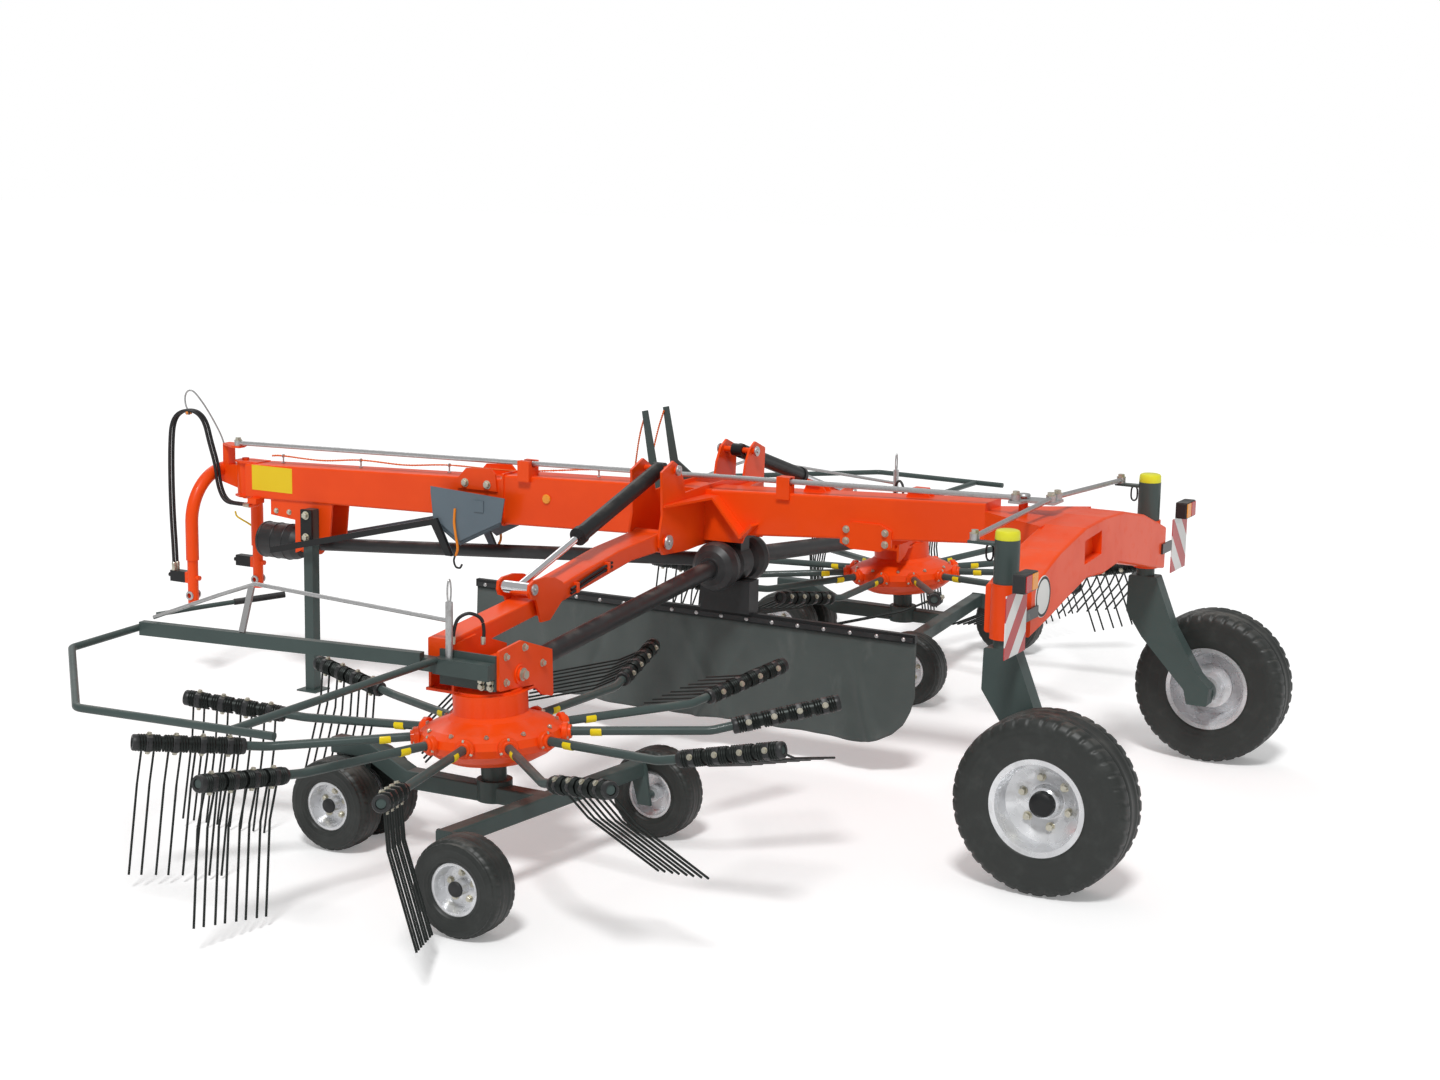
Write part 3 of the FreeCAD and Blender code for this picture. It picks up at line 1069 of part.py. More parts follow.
def small_rim(base, inward):
    """A rotor wheel's rim: inward is the sign along Y of the side its stub comes from."""
    half = "small_w / 2 * 0.8"
    outline = [("-" + half, "small_rim_r"), ("-" + half, "small_rim_r - 6 - run_gap"),
               (half, "small_rim_r - 6 - run_gap"), (half, "small_rim_r - 18"),
               ("10", "small_rim_r - 30"), ("10", "32"), ("%s - 12" % half, "32"),
               ("%s - 12" % half, "0"), ("4", "0"), ("4", "small_stub_r + run_gap"),
               ("-%s + 10" % half, "small_stub_r + run_gap"), ("-%s + 10" % half, "36"), ("-4", "36"),
               ("-4", "small_rim_r - 30"), ("-" + half, "small_rim_r - 18")]
    if inward == "1":
        outline = [("-(%s)" % across, up) for across, up in outline][::-1]
    return turned(outline, base, "Y")


def rotor_wheels():
    """The front pair on one shaft and two single rear wheels."""
    bases = {"outer": ("tail_x", "outer_y", "small_r"), "inner": ("tail_x", "inner_y", "small_r")}
    for name, inward in (("outer", "-1"), ("inner", "1")):
        pair(tyre("small_r", "small_w", "small_rim_r - 6", bases[name]), name + "_tyre")
        pair(small_rim(bases[name], inward), name + "_rim")
    sides = [("twin_x", "twin_y + %s * twin_half" % sign, "small_r") for sign in ("1", "-1")]
    pair(bundle(*[tyre("small_r", "small_w", "small_rim_r - 6", base) for base in sides]), "twin_tyres")
    rims = [small_rim(sides[0], "-1"), small_rim(sides[1], "1")]
    shaft = cylinder("small_stub_r", "2 * twin_half", ("twin_x", "twin_y - twin_half", "small_r"), "Y")
    fill = [cylinder("small_stub_r + 2", "40", ("twin_x", "twin_y + %s * twin_half - 20" % s, "small_r"), "Y")
            for s in ("1", "-1")]
    pair(fuse(*rims, shaft, *fill), "twin_rims")


# ------------------------------------------------------------------ parking stand
def parking_stand():
    tube = box("stand_w", "stand_w", "stand_pin_z + 30 - 8",
               ("stand_x - stand_w / 2", "stand_y - stand_w / 2", "8"))
    foot = box("130", "130", "8", ("stand_x - 65", "stand_y - 65", "0"))
    bore = cylinder("lift_pin_r + run_gap", "100", ("stand_x", "stand_y - 50", "stand_pin_z"), "Y")
    node(cut(fuse(tube, foot), bore), "parking_stand")


# ------------------------------------------------------------------ build
for make in (front_beam, rear_beam, centre_frame, axle_beam, front_bracket, pto_guard, drive_line,
             centre_gearbox, curtain, side_racks, marker_boards, headstock, hoses,
             steering_rod, bell_crank, tie_rod, knuckle, rear_wheel, arm, rotor_head,
             side_drive, lift_cylinder, guard_frame, height_crank, hub, tine_arms, tines,
             chassis, rotor_wheels, parking_stand):
    make()
doc.recompute()

bad = [thing.Label for thing in doc.Objects if {"Invalid", "Error"} & set(thing.State)]
if bad:
    raise SystemExit("failed objects: " + ", ".join(bad))
bad = [piece.Label for piece in pieces if piece.Shape.isNull() or not piece.Shape.isValid()]
if bad:
    raise SystemExit("bad shapes: " + ", ".join(bad))
os.makedirs("parts", exist_ok=True)
for piece in pieces:
    piece.Shape.exportStep("parts/%s.step" % piece.Label)
print(len(pieces), "sub-parts")
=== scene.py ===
# %% [markdown]
# A twin-rotor rotary rake, dressed in Blender.
#
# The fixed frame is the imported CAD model: every beam, arm, rim and tine is already in place and
# rides on the body that moves it.  This notebook adds what a metal shop adds last: paint, rubber,
# cloth, bolts, bands, hoses and tread.  Each new shape is worked out as an array of points.

# %% Load the frame
import bpy
import bmesh
import math
import numpy as np
from mathutils import Matrix, Vector


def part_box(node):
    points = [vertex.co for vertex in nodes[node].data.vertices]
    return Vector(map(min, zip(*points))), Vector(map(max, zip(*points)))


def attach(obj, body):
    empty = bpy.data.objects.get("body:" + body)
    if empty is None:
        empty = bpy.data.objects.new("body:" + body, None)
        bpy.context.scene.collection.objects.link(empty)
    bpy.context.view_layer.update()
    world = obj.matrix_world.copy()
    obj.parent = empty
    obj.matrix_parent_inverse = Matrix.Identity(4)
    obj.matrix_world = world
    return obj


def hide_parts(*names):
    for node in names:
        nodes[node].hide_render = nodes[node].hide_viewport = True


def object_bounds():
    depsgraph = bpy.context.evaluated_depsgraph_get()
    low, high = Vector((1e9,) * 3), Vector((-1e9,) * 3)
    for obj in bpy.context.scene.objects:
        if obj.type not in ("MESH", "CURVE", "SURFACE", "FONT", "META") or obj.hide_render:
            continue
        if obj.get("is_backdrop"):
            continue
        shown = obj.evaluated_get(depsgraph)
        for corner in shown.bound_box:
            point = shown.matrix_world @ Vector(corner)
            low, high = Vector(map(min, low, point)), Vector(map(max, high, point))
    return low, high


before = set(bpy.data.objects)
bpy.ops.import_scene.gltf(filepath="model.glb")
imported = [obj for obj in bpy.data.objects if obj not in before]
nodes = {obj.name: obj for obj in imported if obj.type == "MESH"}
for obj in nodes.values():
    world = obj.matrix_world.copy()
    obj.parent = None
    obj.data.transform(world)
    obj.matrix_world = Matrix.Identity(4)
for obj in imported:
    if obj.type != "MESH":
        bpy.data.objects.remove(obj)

cad_low, cad_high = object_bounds()
print(len(nodes), "nodes, box", [round(b - a, 3) for a, b in zip(cad_low, cad_high)])

# %% [markdown]
# Stations on the machine are easiest to read from the rear axle, so x = 0 is the rear axle and the
# whole set is moved to the frame's own origin.  The move is measured from the tyre itself.
# Directions get names too; the slanted one is a direction that no tube here follows.

# %% Stations
axle_x = (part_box("tyre_left")[0][0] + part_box("tyre_left")[1][0]) / 2
shift = np.array([axle_x, 0.0, 0.0])
forwards, rearwards, leftwards, upwards = (1, 0, 0), (-1, 0, 0), (0, 1, 0), (0, 0, 1)
slanted = (0.13, 0.21, 0.97)
print("rear axle at", round(axle_x, 4))


def at(*point):
    """A point given from the rear axle, in the frame's coordinates."""
    return np.array(point, float) + shift


# %% [markdown]
# A surface is a grid of points, points[u, v].  Neighbours in the grid make a quad.  Where a grid
# closes on itself its first and last rows hold the same points, and where it ends in a pole a whole
# row holds one point: merging equal points closes both.

# %% Grids, copies and meshes
def quads_of(rows, columns):
    """The quads of a grid: (u, v), (u+1, v), (u+1, v+1), (u, v+1)."""
    index = np.arange(rows * columns).reshape(rows, columns)
    ring = (index[:-1, :-1], index[1:, :-1], index[1:, 1:], index[:-1, 1:])
    return np.stack(ring, axis=-1).reshape(-1, 4)


def grid(points):
    """A grid of points as (vertices, quads)."""
    points = np.array(points, float)
    return points.reshape(-1, 3), quads_of(*points.shape[:2])


def joined(*parts):
    """Several (vertices, quads) as one, with the quads renumbered."""
    starts = np.cumsum([0] + [len(v) for v, q in parts[:-1]])
    vertices = np.concatenate([v for v, q in parts])
    quads = np.concatenate([q + s for (v, q), s in zip(parts, starts)])
    return vertices, quads


def placed(part, matrices):
    """One copy of a part for every 4x4 matrix: v' = R v + t, all at once."""
    vertices, quads = part
    matrices = np.atleast_3d(np.array(matrices, float)).reshape(-1, 4, 4)
    moved = np.einsum("kij,nj->kni", matrices[:, :3, :3], vertices) + matrices[:, None, :3, 3]
    step = len(vertices) * np.arange(len(matrices))
    return moved.reshape(-1, 3), (quads[None] + step[:, None, None]).reshape(-1, 4)


def mirrored(part):
    """The part's mirror image in the plane y = 0, its quads turned back outwards."""
    vertices, quads = part
    return vertices * [1, -1, 1], quads[:, ::-1]


def into_scene(name, data):
    """A new object of some data, in the scene."""
    thing = bpy.data.objects.new(name, data)
    bpy.context.scene.collection.objects.link(thing)
    return thing


def mesh_object(name, part, material, sharp=35, merge=1e-5):
    """One closed mesh object from (vertices, quads)."""
    vertices, quads = part
    mesh = bpy.data.meshes.new(name)
    mesh.from_pydata(vertices.tolist(), [], quads.tolist())
    shell = bmesh.new()
    shell.from_mesh(mesh)
    bmesh.ops.remove_doubles(shell, verts=shell.verts, dist=merge)
    bmesh.ops.dissolve_degenerate(shell, edges=shell.edges, dist=1e-6)
    bmesh.ops.recalc_face_normals(shell, faces=shell.faces)
    shell.to_mesh(mesh)
    shell.free()
    mesh.polygons.foreach_set("use_smooth", np.ones(len(mesh.polygons), dtype=bool))
    mesh.set_sharp_from_angle(angle=math.radians(sharp))
    mesh.materials.append(material)
    return into_scene(name, mesh)


made = []


def add(name, part, material, body, **options):
    """A mesh object that rides on one body."""
    thing = mesh_object(name, part, material, **options)
    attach(thing, body)
    made.append((name, len(part[1])))
    return thing


def add_pair(name, part, material, body, **options):
    """A left piece and its mirror image, each on the body of its own side."""
    return [add(name + "_left", part, material, body + "_left", **options),
            add(name + "_right", mirrored(part), material, body + "_right", **options)]


# %% [markdown]
# Three generators make nearly everything: a profile turned round an axis, a ring carried along a
# path, and a rounded box.  A frame matrix stands a shape on any point along any direction.

# %% Turned, swept and boxed shapes
def unit(vector):
    """Vectors divided by their own lengths."""
    vector = np.array(vector, float)
    return vector / np.linalg.norm(vector, axis=-1, keepdims=True)


def frame_at(origin, direction, side):
    """4x4 matrices whose local z runs along the direction; side is kept in the local x-z plane."""
    origin = np.atleast_2d(np.array(origin, float))
    z = unit(np.broadcast_to(np.array(direction, float), origin.shape))
    hint = np.broadcast_to(np.array(side, float), origin.shape)
    spare = np.broadcast_to([1.0, 0.0, 0.0], origin.shape)
    parallel = np.abs((hint * z).sum(-1, keepdims=True)) > 0.98
    y = unit(np.cross(z, np.where(parallel, spare, hint)))
    matrix = np.zeros((len(origin), 4, 4))
    matrix[:, :3] = np.stack([np.cross(y, z), y, z, origin], axis=-1)
    matrix[:, 3, 3] = 1
    return matrix


def stood(part, origin, direction, side=upwards):
    """Copies of a part stood on points, its local z along the direction."""
    return placed(part, frame_at(origin, direction, side))


def full_turn(sides):
    """Angles from 0 to 2 pi in equal steps, both ends kept."""
    return np.linspace(0, 2 * np.pi, sides + 1)


def circled(radius, angle, height, order=(0, 1, 2)):
    """Points (r cos a, r sin a, h); order picks which of the three goes to x, to y and to z."""
    points = np.broadcast_arrays(radius * np.cos(angle), radius * np.sin(angle), height)
    return np.stack(points, axis=-1)[..., order]


def turned(profile, sides):
    """A turned shape: (height h, radius r) becomes (r cos a, r sin a, h), a from 0 to 2 pi."""
    height, radius = np.array(profile, float).T[:, :, None]
    return grid(circled(radius, full_turn(sides), height))


def even(half):
    """A closed profile from its half: the points (-h, r), then (h, r) backwards, then the first."""
    half = np.array(half, float)
    return np.concatenate([half, half[::-1] * [-1, 1], half[:1]])


def plain_ring(half, inner, outer, sides):
    """A turned rectangle: from -half to half along the axis, between two radii."""
    return turned(even([(-half, inner), (-half, outer)]), sides)


def smooth_line(points, steps):
    """A Catmull-Rom curve through the points: p(t) = half the sum of its four weighted points."""
    points = np.array(points, float)
    ends = np.concatenate([[2 * points[0] - points[1]], points, [2 * points[-1] - points[-2]]])
    t = np.linspace(0, 1, steps, endpoint=False)[:, None, None]
    a, b, c, d = (ends[k:len(ends) - 3 + k][None] for k in range(4))
    curve = 0.5 * (2 * b + (c - a) * t + (2 * a - 5 * b + 4 * c - d) * t ** 2
                   + (3 * b - a - 3 * c + d) * t ** 3)
    curve = curve.transpose(1, 0, 2).reshape(-1, points.shape[1])
    return np.concatenate([curve, points[-1:]])


def route(steps, *points):
    """A smooth line through points given from the rear axle."""
    return smooth_line(at(*points), steps)


def across_path(path, up=slanted):
    """The two directions across a path, n and b, at each of its points."""
    along = unit(np.gradient(path, axis=0))
    n = unit(np.cross(along, up))
    return n, np.cross(along, n)


def swept(path, radius, sides, up=slanted):
    """A tube: the ring r (n cos a + b sin a) carried along the path, closed at both ends."""
    path = np.array(path, float)
    n, b = across_path(path, up)
    angle = full_turn(sides)[None, :, None]
    tube = path[:, None] + (n[:, None] * np.cos(angle) + b[:, None] * np.sin(angle)) * radius
    first, last = (np.repeat(path[k, None, None], sides + 1, axis=1) for k in (0, -1))
    return grid(np.concatenate([first, tube, last]))


def plate(outline, thick, soft):
    """A flat plate: the outline in local x and y, its rim softened, from z = 0 to z = thick."""
    outline = np.array(outline, float)
    middle = outline.mean(axis=0)
    loop = np.concatenate([outline, outline[:1]])
    shrunk = middle + (loop - middle) * (1 - soft / np.abs(loop - middle).max())
    centre = np.broadcast_to(middle, loop.shape)
    rows = [(centre, 0), (shrunk, 0), (loop, soft),
            (loop, thick - soft), (shrunk, thick), (centre, thick)]
    return grid(np.stack([np.column_stack([flat, np.full(len(flat), high)]) for flat, high in rows]))


def block(low, high, soft):
    """A box between two corners with softened edges, from a squared-off outline."""
    low, high = np.minimum(low, high), np.maximum(low, high)
    size, middle = high - low, (low + high) / 2
    half = size[:2] / 2
    corner = np.array([[1, 1 - soft / half[1]], [1 - soft / half[0], 1]])
    outline = np.concatenate([corner, corner[::-1] * [-1, 1], corner * -1, corner[::-1] * [1, -1]])
    vertices, quads = plate(outline * half, size[2], soft)
    return vertices + [*middle[:2], low[2]], quads


# %% [markdown]
# Shader maths reads like arithmetic here.  A Socket wraps one output of a node; adding or
# multiplying two of them adds a Math node, and a plain number goes into the node's own field.

# %% Shader sockets
def node_for(operation):
    """A Python operator that adds one Math node."""
    return lambda self, other=0.0: self.shader.node("ShaderNodeMath", {"operation": operation},
                                                    {0: self, 1: other})


class Socket:
    """One shader output that stands in a Python expression."""
    __add__, __mul__, __mod__ = map(node_for, ("ADD", "MULTIPLY", "FLOORED_MODULO"))
    __gt__, __lt__, __abs__, sine = map(node_for, ("GREATER_THAN", "LESS_THAN", "ABSOLUTE", "SINE"))

    def __init__(self, shader, link):
        self.shader, self.link = shader, link


class Shader:
    """A material under construction, with one Principled surface."""

    def __init__(self, name):
        self.material = bpy.data.materials.new(name)
        self.material.use_nodes = True
        self.tree = self.material.node_tree
        self.surface = self.tree.nodes["Principled BSDF"]

    def node(self, kind, settings=None, inputs=None, output=0):
        """Any node: its settings first, then the values or links of its sockets."""
        made_node = self.tree.nodes.new(kind)
        for key, value in (settings or {}).items():
            setattr(made_node, key, value)
        for key, value in (inputs or {}).items():
            self.feed(made_node.inputs[key], value)
        return Socket(self, made_node.outputs[output])

    def feed(self, socket, value):
        """Links a Socket into an input, or writes a plain value there."""
        if isinstance(value, Socket):
            self.tree.links.new(value.link, socket)
        elif socket.type == "RGBA":
            socket.default_value = (*value, 1)
        else:
            socket.default_value = value

    def set(self, **inputs):
        """Feeds the Principled surface by socket name, with _ for a space."""
        for key, value in inputs.items():
            self.feed(self.surface.inputs[key.replace("_", " ")], value)
        return self.material

    def point(self):
        """Where on the object the surface is, in the object's own metres."""
        return self.node("ShaderNodeTexCoord", output="Object")

    def parts(self, vector=None):
        """The x, y and z of a vector."""
        vector = vector or self.point()
        return [self.node("ShaderNodeSeparateXYZ", None, {0: vector}, axis) for axis in range(3)]

    def noise(self, scale, detail, rough=0.55, stretch=(1, 1, 1)):
        """Cloudy noise from 0 to 1."""
        spot = self.node("ShaderNodeMapping", None, {"Vector": self.point(), "Scale": stretch})
        return self.node("ShaderNodeTexNoise", None,
                         {"Vector": spot, "Scale": scale, "Detail": detail, "Roughness": rough})

    def range(self, value, low, high):
        """A smooth step of a value from 0 at the low level to 1 at the high one."""
        return self.node("ShaderNodeMapRange", {"interpolation_type": "SMOOTHSTEP"},
                         {0: value, 1: low, 2: high})

    def mix(self, factor, first, second):
        """A colour between two colours."""
        return self.node("ShaderNodeMix", {"data_type": "RGBA"},
                         {0: factor, 6: first, 7: second}, 2)

    def bump(self, height, strength, distance):
        """Small relief: the normal leans as the height changes."""
        return self.node("ShaderNodeBump", None,
                         {"Height": height, "Strength": strength, "Distance": distance})


# %% [markdown]
# Farm paint is thick and glossy, a little uneven, with patches of grime and dust on the faces that
# look up.  One recipe serves every painted colour: a fine orange-peel bump, a slow drift in tone,
# and dust that follows the surface's own upward tilt.  A part in two colours is split by position.

# %% Painted steel
def dust_on(shader, level):
    """Where dust lies: upward faces, broken up by noise."""
    normal = shader.node("ShaderNodeNewGeometry", output="Normal")
    upward = shader.range(shader.parts(normal)[2], 0.55, 1.0)
    return upward * shader.range(shader.noise(9, 4), 0.42, 0.72) * level


def darker(colour, share):
    """A colour with each part multiplied by a share."""
    return tuple(part * share for part in colour)


def painted(name, colour, dark, rough=0.34, coat=0.12, dust=0.1, second=None, where=None):
    """Two tones of one paint; where(x, y, z) may give a share of a second pair of tones."""
    shader = Shader(name)
    drift = shader.range(shader.noise(2.3, 3), 0.35, 0.7)
    base = shader.mix(drift * 0.5, colour, dark)
    if where:
        base = shader.mix(where(*shader.parts()), base, shader.mix(drift * 0.5, *second))
    dusty = dust_on(shader, dust)
    base = shader.mix(dusty, base, road_dust)
    grime = shader.range(shader.noise(22, 5), 0.5, 0.8)
    return shader.set(Base_Color=base, Roughness=drift * 0.08 + grime * 0.1 + dusty * 0.5 + rough,
                      Specular_IOR_Level=0.22, Coat_Weight=coat, Coat_Roughness=0.08,
                      Normal=shader.bump(shader.noise(140, 2), 0.12, 0.0006))


road_dust = (0.42, 0.38, 0.33)
orange_tones = (0.93, 0.078, 0.004), (0.8, 0.056, 0.003)
black_tones = (0.016, 0.017, 0.018), (0.011, 0.012, 0.012)
slate_tones = (0.062, 0.088, 0.083), (0.044, 0.062, 0.059)
tray_tones = (0.13, 0.17, 0.2), (0.105, 0.14, 0.165)
tray_side, tray_top, panel_back, panel_inside, panel_outside = 0.1935, 1.1, 2.4305, 0.0995, 0.2
cheek_side, arch_front = 0.147, 5.467
orange = painted("orange_paint", *orange_tones)
slate = painted("slate_paint", *slate_tones, 0.36, 0.15, 0.15)
black_paint = painted("black_paint", *black_tones, 0.4, 0.15, 0.12)
tray_rack = painted("tray_paint", *tray_tones, 0.36, 0.15, 0.2, black_tones,
                    lambda x, y, z: (abs(y) > tray_side) * (z < tray_top))
centre_paint = painted("centre_paint", *orange_tones, second=slate_tones,
                       where=lambda x, y, z: (x > panel_back + axle_x) * (abs(y) > panel_inside)
                       * (abs(y) < panel_outside))
bracket_paint = painted("bracket_paint", *orange_tones, second=black_tones,
                        where=lambda x, y, z: y > cheek_side)
arch_paint = painted("arch_paint", *orange_tones, second=black_tones,
                     where=lambda x, y, z: x > arch_front + axle_x)
white_paint = painted("white_paint", (0.8, 0.8, 0.78), (0.72, 0.72, 0.7), 0.35, 0.2, 0.1)
plate_yellow = painted("plate_yellow", (0.86, 0.6, 0.015), (0.78, 0.53, 0.012), 0.4, 0.1, 0.1)
yellow_cap = painted("yellow_cap", (0.8, 0.78, 0.035), (0.72, 0.68, 0.03), 0.35, 0.2, 0.1)
yellow_band = painted("yellow_band", (0.86, 0.66, 0.01), (0.78, 0.58, 0.01), 0.4, 0.1, 0.1)

# %% [markdown]
# Metal comes in four finishes: spangled zinc on rods and cranks, a brighter silver paint on the
# rims, hard chrome on the cylinder rods and dark spring steel on the tines.  Zinc freezes in flat
# crystals, so its spangle is a Voronoi pattern at a few millimetres; noise would look like dirt.

# %% Zinc, silver and chrome
def zinc(name, colour=(0.58, 0.58, 0.58), rough=0.34, spangle=120, metallic=0.9):
    """Each Voronoi cell darkens the metal by its own random share; stains dull it here and there."""
    shader = Shader(name)
    cells = shader.node("ShaderNodeTexVoronoi", None,
                        {"Vector": shader.point(), "Scale": spangle}, "Color")
    shade = shader.parts(cells)[0]
    tone = shader.mix(shade * 0.45, colour, darker(colour, 0.72))
    stain = shader.range(shader.noise(16, 5), 0.5, 0.75)
    tone = shader.mix(stain * 0.3, tone, (0.34, 0.33, 0.31))
    return shader.set(Base_Color=tone, Metallic=metallic,
                      Roughness=shade * 0.12 + stain * 0.18 + rough,
                      Normal=shader.bump(shade, 0.1, 0.0004))


def polished(name, colour, rough):
    """Bright metal under an uneven film that darkens and dulls it a little."""
    shader = Shader(name)
    film = shader.range(shader.noise(9, 3), 0.45, 0.8)
    return shader.set(Base_Color=shader.mix(film * 0.4, colour, darker(colour, 0.7)),
                      Metallic=1.0, Roughness=film * 0.14 + rough)


galvanised = zinc("galvanised_steel")
bolt_zinc = zinc("bolt_zinc", (0.66, 0.63, 0.52), 0.3, 260)
silver_rim = zinc("silver_rim", (0.84, 0.85, 0.87), 0.2, 20, 0.55)
chrome = polished("hard_chrome", (0.86, 0.86, 0.88), 0.08)
spring = polished("spring_steel", (0.04, 0.045, 0.043), 0.42)

# %% [markdown]
# Moulded plastic and rubber are nearly black but never flat: plastic has a fine grain, rubber a
# chalky bloom that lies in its hollows and along its shoulders.

# %% Plastic and rubber
def moulded(name, colour, rough, grain=420, bloom=0.25, relief=0.25):
    """A dark tone, paler by the bloom where the chalk noise is high, over a fine grain of pores."""
    shader = Shader(name)
    chalk = shader.range(shader.noise(12, 5, 0.6), 0.45, 0.78)
    pale = tuple(min(1, part * 1.6 + 0.035) for part in colour)
    base = shader.mix(chalk * bloom, colour, pale)
    base = shader.mix(dust_on(shader, 0.3), base, (0.3, 0.28, 0.25))
    return shader.set(Base_Color=base, Roughness=chalk * 0.14 + rough,
                      Normal=shader.bump(shader.noise(grain, 2), relief, 0.0006))


black_plastic = moulded("black_plastic", (0.018, 0.019, 0.02), 0.42)
tyre_rubber = moulded("tyre_rubber", (0.02, 0.023, 0.021), 0.46, 300, 0.35, 0.12)
hose_rubber = moulded("hose_rubber", (0.012, 0.012, 0.013), 0.45, 60, 0.1, 0.02)
orange_rubber = moulded("orange_rubber", (0.85, 0.25, 0.01), 0.45, 300, 0.1)
orange_rope = moulded("orange_rope", (0.8, 0.16, 0.02), 0.8, 900, 0.3)
amber = moulded("amber_lens", (0.9, 0.33, 0.02), 0.18, 900, 0.05)
red_lens = moulded("red_lens", (0.52, 0.015, 0.015), 0.18, 900, 0.05)

# %% [markdown]
# The curtain is coated fabric: a tight plain weave under a dull grey-green coating.  The weave is
# two crossed sine waves on the cloth's own length and height, a thread every three millimetres.

# %% Coated fabric
def coated_fabric(name, colour, dark):
    """Thread waves sin(2100 x) sin(2100 z) under a scuffed coating whose cloudy darker patches are
    partly a drift in its tone and partly painted shade and reflection.
    """
    shader = Shader(name)
    x, _, z = shader.parts()
    weave = (x * 2100).sine() * (z * 2100).sine()
    # drift: cloudy patches towards the dark tone, partly the coating's own drift and partly painted
    # shade and reflection
    drift = shader.range(shader.noise(1.6, 4), 0.3, 0.75)
    scuff = shader.range(shader.noise(7, 6, 0.65, (1, 1, 0.4)), 0.55, 0.8)
    base = shader.mix(drift * 0.8, colour, dark)
    base = shader.mix(scuff * 0.22, base, (0.24, 0.25, 0.24))
    return shader.set(Base_Color=base, Roughness=drift * 0.1 + scuff * 0.1 + 0.34,
                      Normal=shader.bump(weave * 0.5 + scuff * 0.5, 0.2, 0.0008))


# the second tone is the dark end of the cloudy patches: partly the coating's drift, partly painted
# shade and reflection
curtain_cloth = coated_fabric("curtain_cloth", (0.082, 0.099, 0.094), (0.045, 0.058, 0.055))

# %% [markdown]
# The marker boards carry slanting red and white bars.  A board is a plain plate, so the bars come
# from one line of arithmetic: the height plus the distance from the middle of the machine, wrapped
# round every 0.21 metres.  The absolute value makes the two boards mirror each other.

# %% Striped boards
def striped(name):
    """Red where (height + width) wrapped every 0.21 m is over half way; the rest of the board is
    white, and whatever carries the board is black."""
    period, board_inside, board_top = 0.21, 1.0145, 1.2445
    shader = Shader(name)
    _, y, z = shader.parts()
    bar = ((z + abs(y) + 0.03) % period) > period / 2
    glitter = shader.noise(900, 1)
    base = shader.mix(bar, (0.8, 0.8, 0.78), (0.52, 0.018, 0.02))
    board = (abs(y) > board_inside) * (z < board_top)
    base = shader.mix(board, (0.02, 0.021, 0.022), base)
    worn = shader.range(shader.noise(28, 5), 0.6, 0.8)
    base = shader.mix(worn * 0.25, base, (0.35, 0.33, 0.3))
    return shader.set(Base_Color=base, Roughness=glitter * 0.2 + 0.3, Coat_Weight=0.3,
                      Normal=shader.bump(glitter, 0.1, 0.0004))


board_stripes = striped("board_stripes")

# %% [markdown]
# Every CAD node gets the finish of the real part.  A table lists each material with its nodes,
# without _left or _right, so the two sides are always alike.

# %% Finish of every frame node
FINISH = {name: material for material, names in (
    (orange, "front_beam rear_beam axle_beam arm rotor_head rotor_hub"),
    (centre_paint, "centre_frame"), (bracket_paint, "front_bracket"), (arch_paint, "headstock"),
    (slate, "knuckle chassis guard parking_stand tine_arms"),
    (black_plastic, "pto_guard drive_line centre_gearbox side_drive"),
    (black_paint, "curtain_rail lift_barrel"), (tray_rack, "side_racks"),
    (board_stripes, "marker_boards"), (hose_rubber, "pressure_hose return_hose"),
    (galvanised, "steering_rod bell_crank tie_rod height_crank"), (chrome, "lift_rod"),
    (spring, "tines"), (curtain_cloth, "curtain"),
    (tyre_rubber, "tyre outer_tyre inner_tyre twin_tyres"),
    (silver_rim, "rim outer_rim inner_rim twin_rims")) for name in names.split()}
for name, thing in nodes.items():
    key = name.removesuffix("_left").removesuffix("_right")
    thing.data.materials.clear()
    thing.data.materials.append(FINISH[key])

# %% [markdown]
# Each tine arm leaves the hub, bends back once and carries its spring tines on the outer part.  The
# eleven arms are eleven turns of one arm about a slightly tilted axis, so one set of matrices
# places every clamp, coil, band and bolt at once.

# %% Tine arm stations
arm_count = 11
rotor = at(2.15, 2.14, 0.59)
tilt = math.radians(3.2)
lean = np.array([[math.cos(tilt), 0, math.sin(tilt)], [0, 1, 0], [-math.sin(tilt), 0, math.cos(tilt)]])
arm_angle = np.radians(-27.5 + np.arange(arm_count) * 360 / arm_count)
arm_bend, full_roll, roll_from, roll_over, quiet = np.radians([14.1, 72, 55, 75, 35])
kink_radius, outer_length, tip_rise = 0.937, 0.552, 0.09


def around(radius, angle, height=0.0):
    """Points of the tilted rotor: lean (r cos a, r sin a, h) + rotor."""
    return circled(radius, angle, height) @ lean.T + rotor


def leaning(angle, reach, rise):
    """Unit vectors of the tilted rotor that point outwards by reach and upwards by rise."""
    return unit(around(reach, angle, rise) - rotor)


kink = around(kink_radius, arm_angle)
arm_out = leaning(arm_angle, 1.0, 0.0)
tip_way = leaning(arm_angle + arm_bend, 1.0, tip_rise / outer_length)
from_quiet = np.abs((arm_angle - quiet + np.pi) % (2 * np.pi) - np.pi)
roll = full_roll * np.clip((from_quiet - roll_from) / roll_over, 0, 1)[:, None]
beside = unit(np.cross(upwards, tip_way))
hanging = np.cross(tip_way, beside) * -np.cos(roll) + beside * np.sin(roll)
tines_each = 4
first, last = 0.105, outer_length - 0.006
pitch = (last - first) / tines_each
groups = first + np.arange(tines_each) * pitch


def along_tips(distances):
    """Points on every tine arm at distances beyond its kink, arm by arm."""
    return (kink[:, None] + tip_way[:, None] * np.reshape(distances, (1, -1, 1))).reshape(-1, 3)


print("tine arms", arm_count, "tip height", along_tips([outer_length])[:, 2].round(3))

